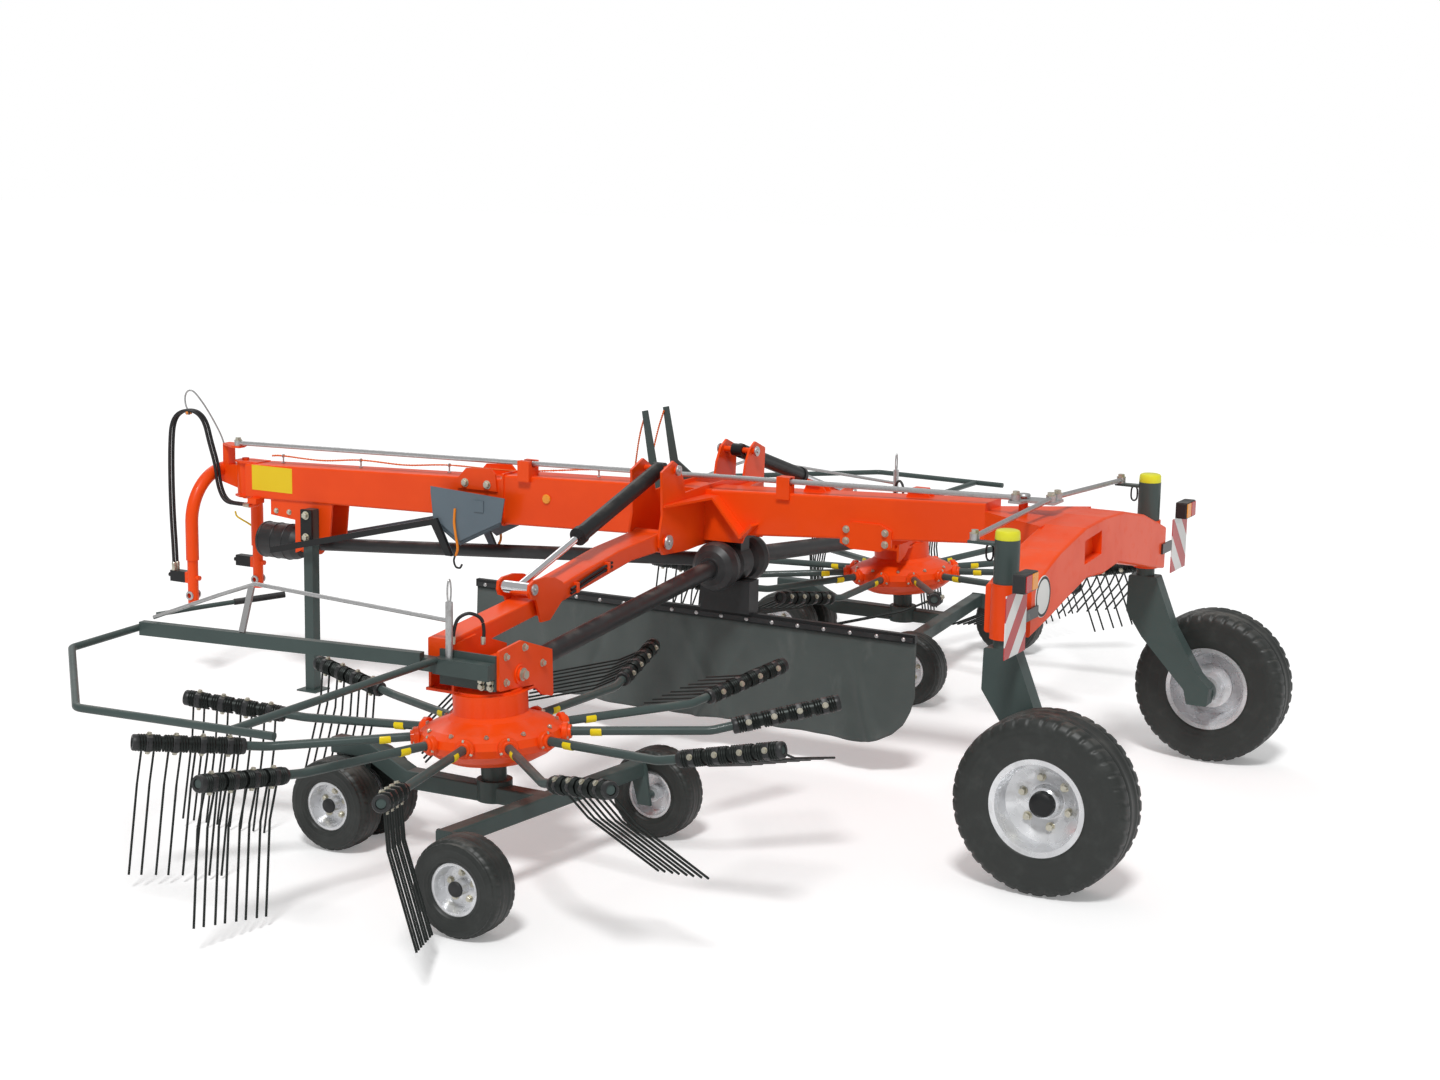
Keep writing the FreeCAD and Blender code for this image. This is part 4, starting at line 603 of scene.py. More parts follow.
# %% [markdown]
# A double tine is one wire: a leg, a coil wound on the bar, a clamp in the middle, a second coil and
# a second leg.  The coil is the part that springs, so it is drawn as a real winding: a helix
# p(t) = (R cos 2 pi n t, R sin 2 pi n t, length (t - 1/2)).

# %% Coils
coil_turns, coil_long, coil_radius, wire = 4, 0.4 * pitch, 0.0335, 0.0046


def winding():
    """A short helix of coil_turns turns about local z."""
    t = np.linspace(0, 1, coil_turns * 10 + 1)
    path = circled(coil_radius, 2 * np.pi * coil_turns * t, coil_long * (t - 0.5))
    return swept(path, wire, 5, upwards)


coil_spots = groups[:, None] + np.array([0.27, 0.73]) * pitch
ways, downs = (np.repeat(way, coil_spots.size, axis=0) for way in (tip_way, hanging))
coils = stood(winding(), along_tips(coil_spots), ways, downs)
add_pair("tine_coils", coils, spring, "rotor", sharp=60, merge=1e-6)
print("coils", len(ways), "a side")

# %% [markdown]
# The clamp between two coils is a bent strap with a hexagon bolt through it, and a black collar
# closes the bank at each end.  The strap is one squared ring, swept round the bar.

# %% Clamps, bolts and collars
def hexagon(across, thick, soft=0.001):
    """A bolt head: a six-cornered plate with a softened rim and a washer under it."""
    outline = circled(across / math.sqrt(3), np.pi / 3 * np.arange(6), 0, (0, 1))
    washer_wide, washer_thick = across * 0.78, thick * 0.22
    washer = turned([(0, 0), (0, washer_wide), (washer_thick, washer_wide), (washer_thick, 0)], 16)
    head, quads = plate(outline, thick, soft)
    return joined((head + [0, 0, thick * 0.2], quads), washer)


def strap_clamp():
    """A strap round the bar: a box-like hoop with rounded corners, profile carried round local z."""
    half, reach, soft = 0.013, 0.036, 0.003
    angle = full_turn(24)
    squared = reach / np.maximum(np.abs(np.cos(angle)), np.abs(np.sin(angle))) ** 0.35
    height, share = even([(-half, 0.6), (-half, 0.97), (soft - half, 1.0)]).T[:, :, None]
    return grid(circled(squared * share, angle, height))


bar_face = 0.036
middles = along_tips(groups + pitch / 2)
mid_ways, mid_downs = (np.repeat(way, tines_each, axis=0) for way in (tip_way, hanging))
clamps = stood(strap_clamp(), middles, mid_ways, mid_downs)
collar = turned(even([(-0.016, 0.021), (-0.016, 0.031), (-0.011, 0.0345)]), 20)
ends = np.concatenate([kink + tip_way * (first + 0.004), kink + tip_way * (last - 0.004)])
collars = stood(collar, ends, np.tile(tip_way, (2, 1)))
add_pair("tine_clamps", joined(clamps, collars), black_plastic, "rotor")
heads = stood(hexagon(0.017, 0.008), middles - mid_downs * bar_face, -mid_downs)
feet = stood(hexagon(0.017, 0.009), middles + mid_downs * bar_face, mid_downs)
add_pair("tine_bolts", joined(heads, feet), bolt_zinc, "rotor")

# %% [markdown]
# Near the hub every arm wears a yellow band, and its root runs in a flanged bush held by three
# bolts.  A ring of bolts on the hub's upper face closes the housing.

# %% Bands, bushes and hub bolts
root_radius, bush_bolt_radius = 0.335, 0.036
band = turned(even([(-0.024, 0.0188), (-0.024, 0.0199), (-0.022, 0.0204)]), 24)
root = around(root_radius, arm_angle)
add_pair("tine_arm_bands", stood(band, root + arm_out * 0.115, arm_out), yellow_band, "rotor")
bush = turned([(-0.03, 0.023), (-0.03, 0.04), (-0.026, 0.043), (-0.008, 0.043), (-0.004, 0.04),
               (-0.003, 0.031), (0.006, 0.03), (0.009, 0.027), (0.009, 0.0195), (-0.03, 0.0195)], 28)
add_pair("arm_bushes", stood(bush, root, arm_out), orange, "rotor")
spoke = np.radians(90 + 120 * np.arange(3))[None, :, None]
level = unit(np.cross(arm_out, lean @ upwards))
crown = np.cross(level, arm_out)
ring_of_three = level[:, None] * np.cos(spoke) + crown[:, None] * np.sin(spoke)
bush_bolts = (root - arm_out * 0.006)[:, None] + ring_of_three * bush_bolt_radius
small_heads = stood(hexagon(0.01, 0.005), bush_bolts.reshape(-1, 3), np.repeat(arm_out, 3, axis=0))
between = arm_angle + np.pi / arm_count
rim_heads = stood(hexagon(0.014, 0.008), around(0.276, between, 0.0375), leaning(between, 0.42, 1.0))
add_pair("hub_bolts", joined(small_heads, rim_heads), bolt_zinc, "rotor")

# %% [markdown]
# The rear tyre is one surface r(a, s): s runs across the section from bead to bead, a runs round.
# The tread is a product of waves: four grooves run round it, and staggered notches cut the
# shoulders every few degrees and fade out down the side wall.  The rotor's wheels use it too.

# %% Tyres
def section(radius, width, rim, steps):
    """A tyre's section as (across, radius): a closed belt of bead, wall, shoulder and crown."""
    knots = np.array([[0.86, rim], [0.955, rim + 0.012], [0.99, rim * 0.75 + radius * 0.25],
                      [1.0, rim * 0.45 + radius * 0.55], [0.965, rim * 0.2 + radius * 0.8],
                      [0.86, radius - 0.014], [0.72, radius - 0.0035], [0.4, radius], [0.12, radius]])
    knots[:, 0] *= width / 2
    curve = smooth_line(knots, steps)
    return np.concatenate([curve, curve[::-1] * [-1, 1]])


def tyre_surface(base, radius, width, rim, lugs, deep, grooves, rounds, steps=6):
    """r(a, s) minus the tread: grooves along s = const, narrow notches where a sine wave peaks."""
    across, height = section(radius, width, rim, steps).T
    angle = full_turn(rounds)[:, None]
    place = across / (width / 2)
    crown = np.clip((height - (radius - 0.02)) / 0.012, 0, 1)
    wall = np.clip((height - (rim * 0.25 + radius * 0.75)) / (0.15 * (radius - rim)), 0, 1)
    cut = sum(np.exp(-((place - groove) / 0.045) ** 2) for groove in grooves)
    wave = np.sin(lugs * angle + np.where(place > 0, 0, np.pi) + 4 * place)
    notch = 1 / (1 + np.exp(-12 * (wave - 0.62)))
    edge = np.clip((np.abs(place) - 0.42) / 0.12, 0, 1)
    lift = deep * np.clip(cut * crown + notch * edge * wall, 0, 1)
    lines = sum(0.002 * np.exp(-((height - rim - share * (radius - rim)) / 0.0024) ** 2)
                for share in (0.1, 0.24, 0.6))
    swell = across * (1 - lift * edge * 2.2) + np.sign(across) * lines
    points = circled(height - lift, angle, swell, (0, 2, 1))
    vertices, quads = grid(np.concatenate([points, points[:, :1]], axis=1))
    return vertices + base, quads


rear_tyre = (0.385, 0.264, 0.202, 38, 0.006, (-0.4, -0.13, 0.13, 0.4), 456)
small_tyre = (0.2025, 0.165, 0.108, 30, 0.0022, (-0.45, -0.15, 0.15, 0.45), 240)
twin_half = 0.13
for side in ("left", "right"):
    for piece, node, body, sizes, places in (
            ("rear_tread", "tyre", "wheel", rear_tyre, (0,)),
            ("outer_tread", "outer_tyre", "outer_wheel", small_tyre, (0,)),
            ("inner_tread", "inner_tyre", "inner_wheel", small_tyre, (0,)),
            ("twin_treads", "twin_tyres", "twin_wheels", small_tyre, (-twin_half, twin_half))):
        middle = np.mean(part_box(f"{node}_{side}"), axis=0)
        treads = [tyre_surface(middle + [0, place, 0], *sizes) for place in places]
        tyre = add(f"{piece}_{side}", joined(*treads), tyre_rubber, f"{body}_{side}", sharp=50)
        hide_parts(f"{node}_{side}")

# %% [markdown]
# The swath curtain hangs from its rail.  It is one cloth cut with a slanting rear corner, and it
# hangs in slow vertical waves that die out at the rail: y = depth (a sin kx + b sin mx).  A thin
# Solidify gives it two faces, and a folded strip along the top is riveted to the rail.

# %% Curtain
front_x, back_x, top_z, low_z = 3.69, 1.13, 0.69, 0.165
hem_x = [back_x, 1.15, 1.185, 1.24, 1.31, 1.39, front_x]
hem_z = [0.42, 0.345, 0.272, 0.218, 0.182, low_z, low_z]
creases = ((1.5, -0.16, 0.03, 0.024), (1.98, 0.34, 0.026, 0.02), (2.46, -0.3, 0.035, 0.022),
           (2.83, 0.22, 0.028, -0.018), (3.3, -0.12, 0.03, 0.016))


def hem_height(x):
    """The lower edge: level, then rising in a rounded slant to the rear."""
    return np.interp(x, hem_x, hem_z)


def curtain_surface(columns=220, rows=28):
    """Three sine waves and five slanting creases, each exp(-((x - start - slant d) / wide)^2),
    all growing with the depth d below the rail; fine gathers under the strip die out."""
    x = np.linspace(back_x, front_x, columns)[:, None]
    depth = np.linspace(0, 1, rows)[None, :]
    z = top_z - depth * (top_z - hem_height(x))
    wave = (0.02 * np.sin(5.2 * x + 0.6) + 0.013 * np.sin(13.7 * x + 2.0 - 1.1 * depth)
            + 0.006 * np.sin(31 * x + 1.1 + 2.6 * depth) * np.sin(4 * depth + 0.3))
    fold = sum(high * np.exp(-((x - start - slant * depth) / wide) ** 2)
               for start, slant, wide, high in creases)
    sway = (wave + fold) * depth ** 1.2 + 0.0012 * np.sin(70 * x) * np.exp(-depth * 9)
    return np.stack([x + 0 * depth, sway, z], axis=-1) + shift


curtain = mesh_object("curtain_cloth_sheet", grid(curtain_surface()), curtain_cloth, sharp=180)
thickness = curtain.modifiers.new("thickness", "SOLIDIFY")
thickness.thickness, thickness.offset = 0.003, 0
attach(curtain, "frame")
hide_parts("curtain")

# %% [markdown]
# A curtain like this is clamped, not sewn: a flat strip lies along each face of its top edge and
# rivets pull the two together through the rail.  Eighteen domed rivets are one turned profile
# copied along a row.

# %% Curtain strip and rivets
rail_out, strip_out, rivet_high, rivet_count = 0.0152, 0.0182, top_z + 0.014, 18
strip = block(at(back_x + 0.01, rail_out, top_z + 0.002),
              at(front_x - 0.01, strip_out, top_z + 0.026), 0.001)
rivet = turned([(0, 0), (0, 0.011), (0.003, 0.0095), (0.006, 0.005), (0.007, 0)], 12)
rivet_x = np.linspace(back_x + 0.06, front_x - 0.06, rivet_count)
rivet_rows = [stood(rivet, at(*[(x, sign * strip_out, rivet_high) for x in rivet_x]), [0, sign, 0])
              for sign in (1, -1)]
add("curtain_strips", joined(strip, mirrored(strip)), black_plastic, "frame")
add("curtain_rivets", joined(*rivet_rows), galvanised, "frame")

# %% [markdown]
# Two hydraulic hoses leave steel elbows under the beam, climb behind the hitch arch, turn over
# their wire support and drop to the catch block, where their couplings are parked.  Each hose's
# spline is guided by the same points as its tube in the frame.

# %% Hoses
head_x, hose_low, hose_under, hose_aside = 5.27, 0.6213, 1.003, 0.028
guide = [(-0.118, 0.084, hose_under), (-0.03, 0.086, hose_under), (0.062, 0.089, hose_under + 0.004),
         (0.104, 0.096, 1.095), (0.108, 0.106, 1.215), (0.14, 0.12, 1.345), (0.159, 0.135, 1.465),
         (0.204, 0.16, 1.522), (0.275, 0.196, 1.521), (0.321, 0.221, 1.462), (0.322, 0.238, 1.32),
         (0.316, 0.25, 1.11), (0.303, 0.26, 0.91), (0.288, 0.266, 0.745), (0.285, 0.266, hose_low)]


def on_hose(aside, x, y, z):
    """A point of the hose's guide, moved aside for the second hose."""
    return at(head_x + x, y + aside, z)


def hose(name, node, aside):
    """A NURBS line of order three through its guide points, thickened to 18 mm."""
    curve = bpy.data.curves.new(name, "CURVE")
    curve.dimensions = "3D"
    line = curve.splines.new("NURBS")
    line.points.add(len(guide) - 1)
    for spot, place in zip(line.points, guide):
        spot.co = (*on_hose(aside, *place), 1)
    line.order_u = 3
    line.use_endpoint_u = True
    line.resolution_u = 12
    curve.bevel_depth, curve.bevel_resolution, curve.use_fill_caps = 0.009, 4, True
    curve.materials.append(hose_rubber)
    thing = into_scene(name, curve)
    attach(thing, "headstock")
    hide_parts(node)


hose("pressure_hose_line", "pressure_hose", 0.0)
hose("return_hose_line", "return_hose", hose_aside)

# %% [markdown]
# A hydraulic hose ends in a crimped steel ferrule, a short turned sleeve with a step.  The pair
# hangs over a loop of bent wire and is tied to it with an orange clip, so it can't drop when the
# couplings are pulled out.  The wire is one smooth line, swept.

# %% Hose ferrules and wire support
ferrule = turned([(0, 0.009), (0, 0.0135), (0.012, 0.0135), (0.013, 0.0118), (0.016, 0.0118),
                  (0.017, 0.013), (0.04, 0.013), (0.043, 0.0112), (0.046, 0.009)], 20)


def at_each_hose(place):
    """The same place on both hoses."""
    return np.array([on_hose(aside, *place) for aside in (0, hose_aside)])


add("hose_ferrules", joined(stood(ferrule, at_each_hose(guide[-1]), upwards),
                            stood(ferrule, at_each_hose(guide[0]), forwards)),
    bolt_zinc, "headstock")
hose_wire = route(8, (5.4, 0.02, 1.3), (5.425, 0.035, 1.385), (5.462, 0.095, 1.52),
                  (5.505, 0.14, 1.612), (5.535, 0.158, 1.628), (5.552, 0.17, 1.6),
                  (5.545, 0.178, 1.552), (5.52, 0.18, 1.506), (5.505, 0.196, 1.5),
                  (5.512, 0.216, 1.508))
add("hose_support", swept(hose_wire, 0.005, 10), galvanised, "headstock")
clip = plain_ring(0.006, 0.0088, 0.0108, 20)
add("hose_ties", stood(clip, at_each_hose((0.24, 0.178, 1.5085)), [0.88, 0.45, 0.0]), orange_rubber,
    "headstock")

# %% [markdown]
# Caps, lamps and boards finish the rear axle.  Each post wears a yellow cap, and a lamp housing with
# a red and an amber lens sits over each striped board.  The round white disc stays blank.

# %% Post caps, lamps and disc
cap = turned([(0, 0), (0, 0.0535), (0.004, 0.0545), (0.032, 0.053), (0.039, 0.049), (0.0425, 0.04),
              (0.043, 0)], 40)
add_pair("post_cap", stood(cap, at(0.31, 0.97, 1.4302), upwards), yellow_cap, "knuckle")
housing = block(at(0.1385, 1.0435, 1.2465), at(0.1965, 1.1965, 1.3275), 0.006)
amber_lens, red_pane = (block(at(0.1345, low, 1.252), at(0.1392, high, 1.322), 0.003)
                        for low, high in ((1.05, 1.115), (1.12, 1.19)))
for side, turn_over in (("left", lambda part: part), ("right", mirrored)):
    add("lamp_housing_" + side, turn_over(housing), black_plastic, "frame")
    add("lamp_red_" + side, turn_over(red_pane), red_lens, "frame")
    add("lamp_amber_" + side, turn_over(amber_lens), amber, "frame")
disc_spot = at(0.2045, 0.8, 1.165)
disc = turned([(0, 0), (0, 0.092), (0.0025, 0.0905), (0.003, 0.086), (0.003, 0)], 64)
ring = turned([(0.001, 0.076), (0.0034, 0.0765), (0.0036, 0.08), (0.0036, 0.088), (0.001, 0.089),
               (0.001, 0.076)], 64)
add("blank_disc", stood(disc, disc_spot, rearwards), white_paint, "frame")
add("disc_ring", stood(ring, disc_spot, rearwards), black_paint, "frame")

# %% [markdown]
# Bolts tell the eye how big the machine is.  One hexagon head is copied to every joint: the rest
# plates on the rear beam, the collar at the step, the stand's bracket, the rotor head and the wheels.

# %% Bolt groups
def bolts(spots, direction, across=0.02, thick=0.01):
    """Bolt heads at points given from the rear axle, all facing one way."""
    return stood(hexagon(across, thick), at(*spots), direction)


def both_sides(*parts):
    """Parts and their mirror images as one."""
    return joined(*parts, *[mirrored(part) for part in parts])


plate_bolts = bolts([(x, 0.112, z) for x in (1.262, 1.468) for z in (1.178, 1.234)], leftwards,
                    0.024, 0.012)
collar_bolts = bolts([(3.4665, y, z) for y in (-0.085, 0.085) for z in (1.083, 1.305)], forwards)
cheek_bolts = bolts([(3.56, 0.102, 1.262), (3.7, 0.102, 1.262)], leftwards, 0.03, 0.014)
stand_bolts = bolts([(4.72, 0.1602, 0.995), (4.72, 0.1602, 0.872)], leftwards, 0.03, 0.016)
bracket_bolts = bolts([(x, 0.0792, 0.985) for x in (4.8, 4.9, 4.99)], leftwards)
add("frame_bolts", joined(both_sides(plate_bolts), collar_bolts, both_sides(cheek_bolts), stand_bolts,
                          both_sides(bracket_bolts)), bolt_zinc, "frame")

# %% [markdown]
# The arms fold and the cylinders swing on steel pins, and each pin shows a stepped head on both
# faces of its lugs.  One turned head serves all: the cylinder pins are the same head, scaled down.

# %% Pin heads on arms and cylinders
pin_end = turned([(0, 0), (0, 0.036), (0.004, 0.037), (0.009, 0.035), (0.01, 0.014), (0.016, 0.013),
                  (0.017, 0)], 28)
arm_x = 2.34


def pin_pair(y, z, half, thick=1.0, long=1.0):
    """A pin's two heads, half the lug's width before and behind the arm's middle."""
    head = pin_end[0] * [thick, thick, long], pin_end[1]
    return [stood(head, at(arm_x + way * half, y, z), [way, 0, 0]) for way in (-1, 1)]


frame_pins = pin_pair(0.5, 1.15, 0.105) + pin_pair(0.41, 1.49, 0.105, 0.72, 0.9)
add("frame_pins", both_sides(*frame_pins), galvanised, "frame")
add_pair("ear_pins", joined(*pin_pair(1.66, 1.11, 0.087, 0.7, 0.9)), galvanised, "arm")

# %% [markdown]
# Wheels are held by nuts on a circle and closed by a cap over the bearing.  The rear wheels have
# six nuts and a deep stepped dust cap, the rotor wheels five nuts and a small grease cap.  A
# circle of nuts is (r cos a, r sin a) at equal steps of a.

# %% Wheel nuts and hub caps
def nut_circle(centre, aside, radius, count, across, thick, sign=1):
    """Wheel nuts on a circle about the axle, facing outwards along y."""
    spots = circled(radius, 2 * np.pi * np.arange(count) / count + 0.3, aside * sign, (0, 2, 1))
    return stood(hexagon(across, thick), spots + centre, [0, sign, 0])


dust_cap = turned([(0, 0), (0, 0.066), (0.004, 0.069), (0.016, 0.069), (0.022, 0.064), (0.026, 0.057),
                   (0.052, 0.055), (0.066, 0.052), (0.074, 0.042), (0.077, 0.022), (0.078, 0)], 44)
grease_cap = turned([(0, 0.03), (0.003, 0.0325), (0.009, 0.0315), (0.015, 0.024), (0.017, 0)], 28)
rear_hub, small_hub_high, nut_face, cap_face = at(0, 1.21, 0.385), 0.2025, 0.0105, 0.0538
add_pair("wheel_nuts", nut_circle(rear_hub, -0.001, 0.108, 6, 0.026, 0.02), bolt_zinc, "wheel")
add_pair("wheel_cap", stood(dust_cap, rear_hub + [0, 0.0005, 0], leftwards), black_paint, "wheel")
for name, x, y, sign, body in (("outer", 1.76, 2.91, 1, "outer_wheel"),
                               ("inner", 1.76, 1.4, -1, "inner_wheel"),
                               ("twin_out", 2.86, 2.29, 1, "twin_wheels"),
                               ("twin_in", 2.86, 2.03, -1, "twin_wheels")):
    hub_at = at(x, y, small_hub_high)
    nuts = nut_circle(hub_at, nut_face, 0.056, 5, 0.019, 0.012, sign)
    add_pair(name + "_nuts", nuts, bolt_zinc, body)
    add_pair(name + "_cap", stood(grease_cap, hub_at + [0, cap_face * sign, 0], [0, sign, 0]),
             black_plastic, body)

# %% [markdown]
# The rotor head carries the bearing nut and two groups of bolts.  The input shaft's bell has three
# raised hoops, and its splined end shows in the middle: a turned ring whose radius steps six times.

# %% Rotor head and drive fittings
drive = at(0, 0, 0.8)
head_bolts = joined(
    bolts([(2.04, y, z) for y, z in ((2.2, 0.94), (2.2, 0.83), (1.92, 0.86), (2.06, 0.955))],
          rearwards, 0.022, 0.012),
    bolts([(x, 2.2622, z) for x in (2.075, 2.12) for z in (0.815, 0.84)], leftwards, 0.022, 0.012),
    bolts([(2.026, 2.09, 0.845)], rearwards, 0.036, 0.016))
add_pair("head_bolts", head_bolts, bolt_zinc, "arm")


def hoop(x, radius=0.0995, wire_radius=0.0035):
    """A closed ring round the drive line: x + w sin b, (radius + w cos b) turned by a."""
    turn, small = full_turn(48)[:, None], full_turn(8)[None, :]
    points = circled(radius + wire_radius * np.cos(small), turn,
                     x + wire_radius * np.sin(small), (2, 0, 1))
    return grid(points + drive)


add("bell_hoops", joined(*map(hoop, (4.95, 5.03, 5.118))), black_plastic, "frame")
spline_count = 6
turn = full_turn(spline_count * 12)
reach = 0.018 - 0.0017 * (np.sin(spline_count * turn) > 0)
x, share = np.array([(4.985, 0.9), (4.986, 1.0), (5.036, 1.0), (5.0385, 0.93)]).T[:, :, None]
splines = circled(share * reach, turn, x, (2, 0, 1)) + drive
add("input_splines", grid(splines), galvanised, "frame", sharp=25)

# %% [markdown]
# Small things at the beam: a blank yellow plate, an amber reflector, the tray's rubber strap and
# its hook.  Plates stay bare: they show where a label goes, not what it says.

# %% Plates, reflector and tray hooks
label = block(at(4.868, 0.0885, 1.092), at(5.152, 0.0915, 1.232), 0.001)
add("blank_plate", both_sides(label), plate_yellow, "frame")
lens = turned([(0, 0), (0, 0.024), (0.004, 0.025), (0.009, 0.021), (0.011, 0)], 28)
add("side_reflector", both_sides(stood(lens, at(3.19, 0.1002, 1.22), leftwards)), amber, "frame")
tray_strap = route(8, (3.7, 0.196, 1.135), (3.702, 0.2, 1.06), (3.69, 0.203, 0.99),
                   (3.678, 0.204, 0.925), (3.69, 0.204, 0.885))
tray_hook = route(8, (3.69, 0.204, 0.895), (3.702, 0.204, 0.858), (3.69, 0.204, 0.826),
                  (3.664, 0.204, 0.822), (3.65, 0.204, 0.842))
add("tray_strap", both_sides(swept(tray_strap, 0.007, 8)), orange_rubber, "frame")
add("tray_hook", both_sides(swept(tray_hook, 0.0055, 8)), black_paint, "frame")

# %% [markdown]
# Every upright pin of the steering ends in a nut, and the bell crank's own pin in a cap.  At the
# feet of the hitch legs a thin bush lines each lower-link hole: a ring, so the hole stays open.

# %% Steering nuts and link bushes
rod_nut = hexagon(0.03, 0.014)
crank_pins = at((0.61, 0.1, 1.4806), (0.46, 0.045, 1.4806), (0.46, -0.045, 1.4806))
add("crank_nuts", stood(rod_nut, crank_pins, upwards), bolt_zinc, "bell_crank")
add_pair("knuckle_nut", stood(rod_nut, at(0.46, 0.97, 1.4406), upwards), bolt_zinc, "knuckle")
add("head_nut", stood(rod_nut, at(head_x, 0.06, 1.3556), upwards), bolt_zinc, "headstock")
crank_cap = turned([(0, 0.016), (0, 0.032), (0.006, 0.033), (0.012, 0.028), (0.014, 0)], 28)
add("crank_cap", stood(crank_cap, at(0.61, 0, 1.4602), upwards), galvanised, "frame")
link_bush = turned([(-0.006, 0.0145), (-0.006, 0.024), (0.0, 0.026), (0.004, 0.024), (0.004, 0.0145),
                    (-0.006, 0.0145)], 28)
link_ends = at((5.43, 0.2485, 0.49), (5.43, 0.3125, 0.49))
add("link_bushes", both_sides(stood(link_bush, link_ends, leftwards)), galvanised, "headstock")

# %% [markdown]
# The tray is folded from several thin plies, and their edges show below it as parallel lines.  Each
# ply is the same five-cornered plate, set a little further in, lower and forward.

# %% Tray plies
ply_outline = np.array([(3.862, 1.232), (3.398, 1.207), (3.42, 1.082), (3.672, 0.955), (3.842, 1.062)])


def ply(aside, drop, ahead):
    """A thin plate in the x-z plane: (x, y, z) of the flat plate becomes (x, -z, y), then moved."""
    vertices, quads = plate(ply_outline, 0.004, 0.001)
    upright = vertices[:, [0, 2, 1]] * [1, -1, 1] + [axle_x + ahead, aside, -drop]
    return upright, quads


add("tray_plies", both_sides(ply(0.182, 0.01, 0.006), ply(0.174, 0.02, 0.012)), tray_rack, "frame")

# %% [markdown]
# Pull ropes work the latches from the tractor.  An orange rope runs through eyes along the front
# beam, and a short one hangs from each latch lever to an eye on the beam.  A rope is two strands
# twisted round one line: centre + r (n cos wt + b sin wt), half a turn apart.

# %% Ropes and their eyes
def rope(path, radius=0.0032, lay=0.022):
    """Two strands wound round a path, one turn every lay metres."""
    n, b = across_path(path)
    run = np.concatenate([[0], np.cumsum(np.linalg.norm(np.diff(path, axis=0), axis=1))])
    turn = (2 * np.pi * run / lay)[:, None]
    strands = [path + radius * 0.8 * (n * np.cos(turn + half) + b * np.sin(turn + half))
               for half in (0, np.pi)]
    return joined(*[swept(strand, radius, 6) for strand in strands])


def over_beam(x, high):
    """A point over the front beam's upper face at a station, on the rope's line."""
    return at(x, -0.025, np.interp(x, [2.46, 3.44, 3.45, 5.2], [1.357, 1.324, 1.3, 1.232]) + high)


eye_high = 0.04
eye_spots = np.array([over_beam(x, eye_high) for x in (5.02, 4.48, 3.89, 2.95)])
eye = plain_ring(0.003, 0.0045, 0.0105, 16)
post = turned([(-0.004, 0), (-0.004, 0.011), (0.004, 0.011), (0.006, 0.0045), (0.03, 0.0045),
               (0.031, 0)], 12)
add("rope_eyes", joined(stood(eye, eye_spots, [1, 0, 0.04]),
                        stood(post, eye_spots - [0, 0, eye_high], upwards)), galvanised, "frame")
slack = ((5.1, 0.038), (5.02, eye_high), (4.75, 0.026), (4.48, eye_high), (4.18, 0.027),
         (3.89, eye_high), (3.45, 0.03), (2.95, eye_high), (2.7, eye_high))
beam_rope = smooth_line([over_beam(x, high) for x, high in slack], 40)
lever_rope = route(24, (2.608, 0.094, 1.706), (2.64, 0.09, 1.6), (2.668, 0.08, 1.46),
                   (2.68, 0.074, 1.375))
add("pull_ropes", joined(rope(beam_rope), rope(lever_rope), rope(lever_rope * [1, -1, 1])), orange_rope,
    "frame", sharp=60)
foot_eye = turned([(0, 0), (0, 0.012), (0.004, 0.012), (0.006, 0.005), (0.028, 0.005), (0.029, 0)], 14)
add("lever_eyes", both_sides(stood(foot_eye, at(2.68, 0.074, 1.3485), upwards)), galvanised, "frame")

# %% [markdown]
# Hydraulic lines on the folding arms lie against the rear face under two clips, and a short knee of
# hose feeds the height screw.  They stay on the arm; where they would cross the hinge they end in a
# fitting, because a hose that bridges a turning joint can't be rigid.

# %% Arm hoses, screw handle and guard prop
arm_line = route(10, (2.2555, 0.99, 1.126), (2.2555, 1.1, 1.109), (2.2555, 1.22, 1.087),
                 (2.256, 1.345, 1.058))
line_clips = [block(at(2.2445, y - 0.011, z - 0.034), at(2.266, y + 0.011, z + 0.014), 0.002)
              for y, z in ((1.03, 1.12), (1.3, 1.07))]
add_pair("arm_lines", joined(*[swept(arm_line - [0, 0, drop], 0.0068, 10) for drop in (0, 0.019)]),
         hose_rubber, "arm")
add_pair("arm_line_clips", joined(*line_clips), orange, "arm")
knee = route(10, (2.174, 2.17, 0.975), (2.172, 2.168, 1.035), (2.18, 2.18, 1.085),
             (2.215, 2.215, 1.108), (2.25, 2.245, 1.085), (2.262, 2.258, 1.03), (2.264, 2.26, 0.982))
add_pair("knee_hose", swept(knee, 0.0075, 12), hose_rubber, "arm")
sleeve = turned([(0, 0.0075), (0, 0.0105), (0.03, 0.0105), (0.033, 0.009), (0.033, 0.0075)], 18)
knee_ends = at((2.174, 2.17, 0.972), (2.264, 2.26, 0.979))
add_pair("knee_sleeves", stood(sleeve, knee_ends, upwards), bolt_zinc, "arm")
tall_ring = at(2.27, 2.28, 1.205) + circled(1, full_turn(40), 0, (2, 0, 1)) * [1, 0.013, 0.052]
add_pair("screw_handle", swept(tall_ring, 0.0042, 10), galvanised, "arm")
prop = route(6, (3.74, 2.43, 0.962), (3.6, 2.24, 0.985), (3.4, 1.97, 1.012))
grip = prop[-5:] + (prop[-1] - prop[-2]) * 0.1
add_pair("guard_prop", swept(prop, 0.011, 12), slate, "arm")
add_pair("guard_prop_grip", swept(grip, 0.0145, 14), black_plastic, "arm")

# %% [markdown]
# Two small wire shapes are left: a squared loop on each axle post, where a strap is hooked in, and
# a yellow hook on one hitch leg for the drive shaft.  The loop is an ellipse whose sine is raised
# to a power below one, which fills its corners.

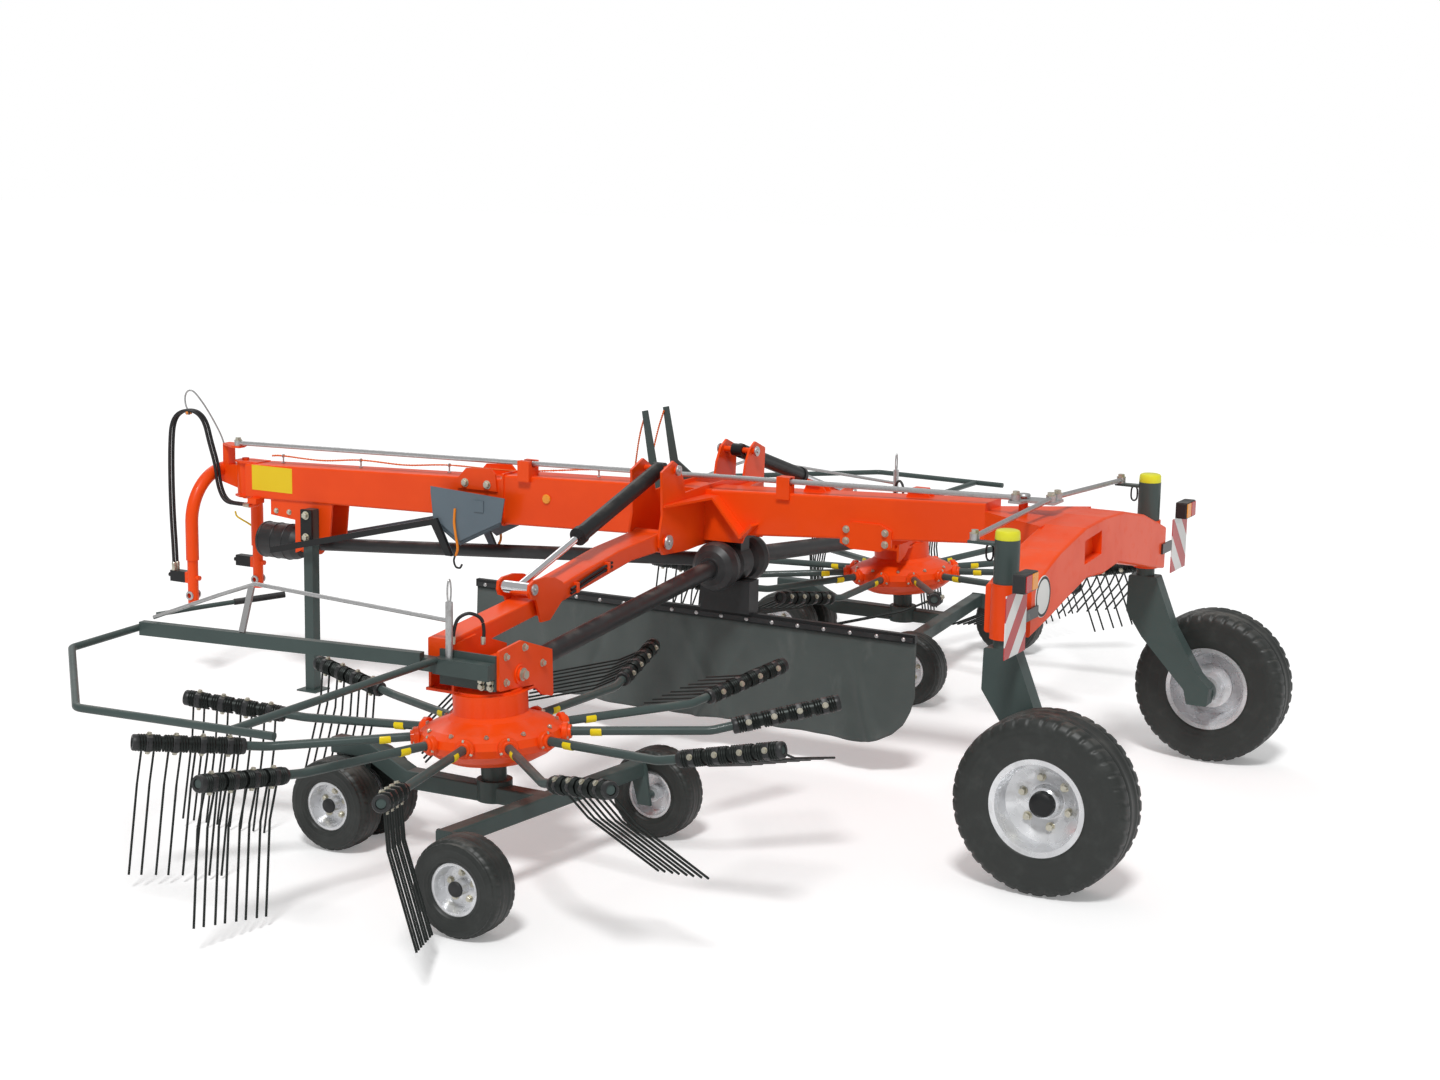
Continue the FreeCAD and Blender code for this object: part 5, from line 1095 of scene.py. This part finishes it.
# %% Post loops and leg hook
across, aside, high = circled(0.016, full_turn(32), 0, (0, 2, 1)).T
squarish = 0.036 * np.sign(high) * np.abs(high / 0.016) ** 0.6
post_loop = at(0.389, 0.97, 1.366) + np.stack([across, aside, squarish], axis=-1)
add_pair("post_loop", swept(post_loop, 0.0045, 8), black_paint, "knuckle")
leg_hook = route(8, (5.47, -0.28, 0.8), (5.505, -0.28, 0.815), (5.545, -0.276, 0.832),
                 (5.572, -0.268, 0.85), (5.578, -0.262, 0.878))
add("leg_hook", swept(leg_hook, 0.0055, 10), yellow_band, "headstock")

# %% [markdown]
# The floor is a wide pale sheet and the light is soft: a white sky, one broad sun and a weak one
# behind.  The floor glows a little towards the camera only, so it meets the sky without a horizon.

# %% Floor, sky and lamps
sky_light, floor_glow = 0.42, 0.22
lamps = (("key", (-2.0, 5.5, 8.5), 1.9, 11), ("rim", (5.0, -4.0, 5.0), 0.35, 30))


def floor():
    """A wide square that glows only towards the camera, so it shows just its shadows."""
    pale = Shader("studio_floor")
    seen_ray = pale.node("ShaderNodeLightPath", output="Is Camera Ray")
    pale.set(Base_Color=(0.9, 0.9, 0.9), Roughness=0.9, Specular_IOR_Level=0.0,
             Emission_Color=pale.mix(seen_ray, (0, 0, 0), (1, 1, 1)), Emission_Strength=floor_glow)
    corners = np.array([[[-60, -60, 0], [-60, 60, 0]], [[60, -60, 0], [60, 60, 0]]], float)
    mesh_object("floor", grid(corners), pale.material)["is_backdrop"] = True


def sky():
    """White at full strength to the camera, and at the sky's own strength to everything else."""
    world = bpy.data.worlds.new("sky")
    bpy.context.scene.world = world
    world.use_nodes = True
    tree = world.node_tree
    path = tree.nodes.new("ShaderNodeLightPath")
    mix = tree.nodes.new("ShaderNodeMixShader")
    tree.links.new(path.outputs["Is Camera Ray"], mix.inputs[0])
    shades = tree.nodes["Background"], tree.nodes.new("ShaderNodeBackground")
    for shade, strength, socket in zip(shades, (sky_light, 1.0), mix.inputs[1:]):
        shade.inputs["Color"].default_value = (1, 1, 1, 1)
        shade.inputs["Strength"].default_value = strength
        tree.links.new(shade.outputs[0], socket)
    tree.links.new(mix.outputs[0], tree.nodes["World Output"].inputs["Surface"])


floor()
sky()
for name, spot, strength, spread in lamps:
    lamp = bpy.data.lights.new(name, "SUN")
    lamp.energy, lamp.angle = strength, math.radians(spread)
    light = into_scene(name, lamp)
    light.location = spot
    light.rotation_euler = (-Vector(spot)).to_track_quat("-Z", "Y").to_euler()

# %% [markdown]
# The camera stands behind the left side of the machine, at about twice eye height, with a mild
# long lens.  Its place is given from the rear axle like everything else; yaw turns it from
# looking across the machine towards the hitch, pitch tips it down, and a degree of roll levels it.

# %% Camera
eye_at = (-3.108, 9.909, 3.116)
yaw, pitch, roll = math.radians(28.26), math.radians(10.22), math.radians(1.04)
ahead = Vector((math.sin(yaw) * math.cos(pitch), -math.cos(yaw) * math.cos(pitch), -math.sin(pitch)))
level = ahead.cross(Vector(upwards)).normalized()
crown = level.cross(ahead)
side = level * math.cos(roll) + crown * math.sin(roll)
top = crown * math.cos(roll) - level * math.sin(roll)
eye = bpy.data.cameras.new("camera")
eye.lens, eye.sensor_width = 56.74, 36
view = into_scene("camera", eye)
view.matrix_world = Matrix.Translation(at(*eye_at)) @ Matrix((side, top, -ahead)).transposed().to_4x4()
bpy.context.scene.camera = view
bpy.context.scene.view_settings.view_transform = "Standard"

# %% Sizes and close
print("pieces", len(made), "quads", sum(count for name, count in made))
low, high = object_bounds()
sizes = {"cad": [[float(v) for v in cad_low], [float(v) for v in cad_high]],
         "visual": [[float(v) for v in low], [float(v) for v in high]]}
print(sizes)
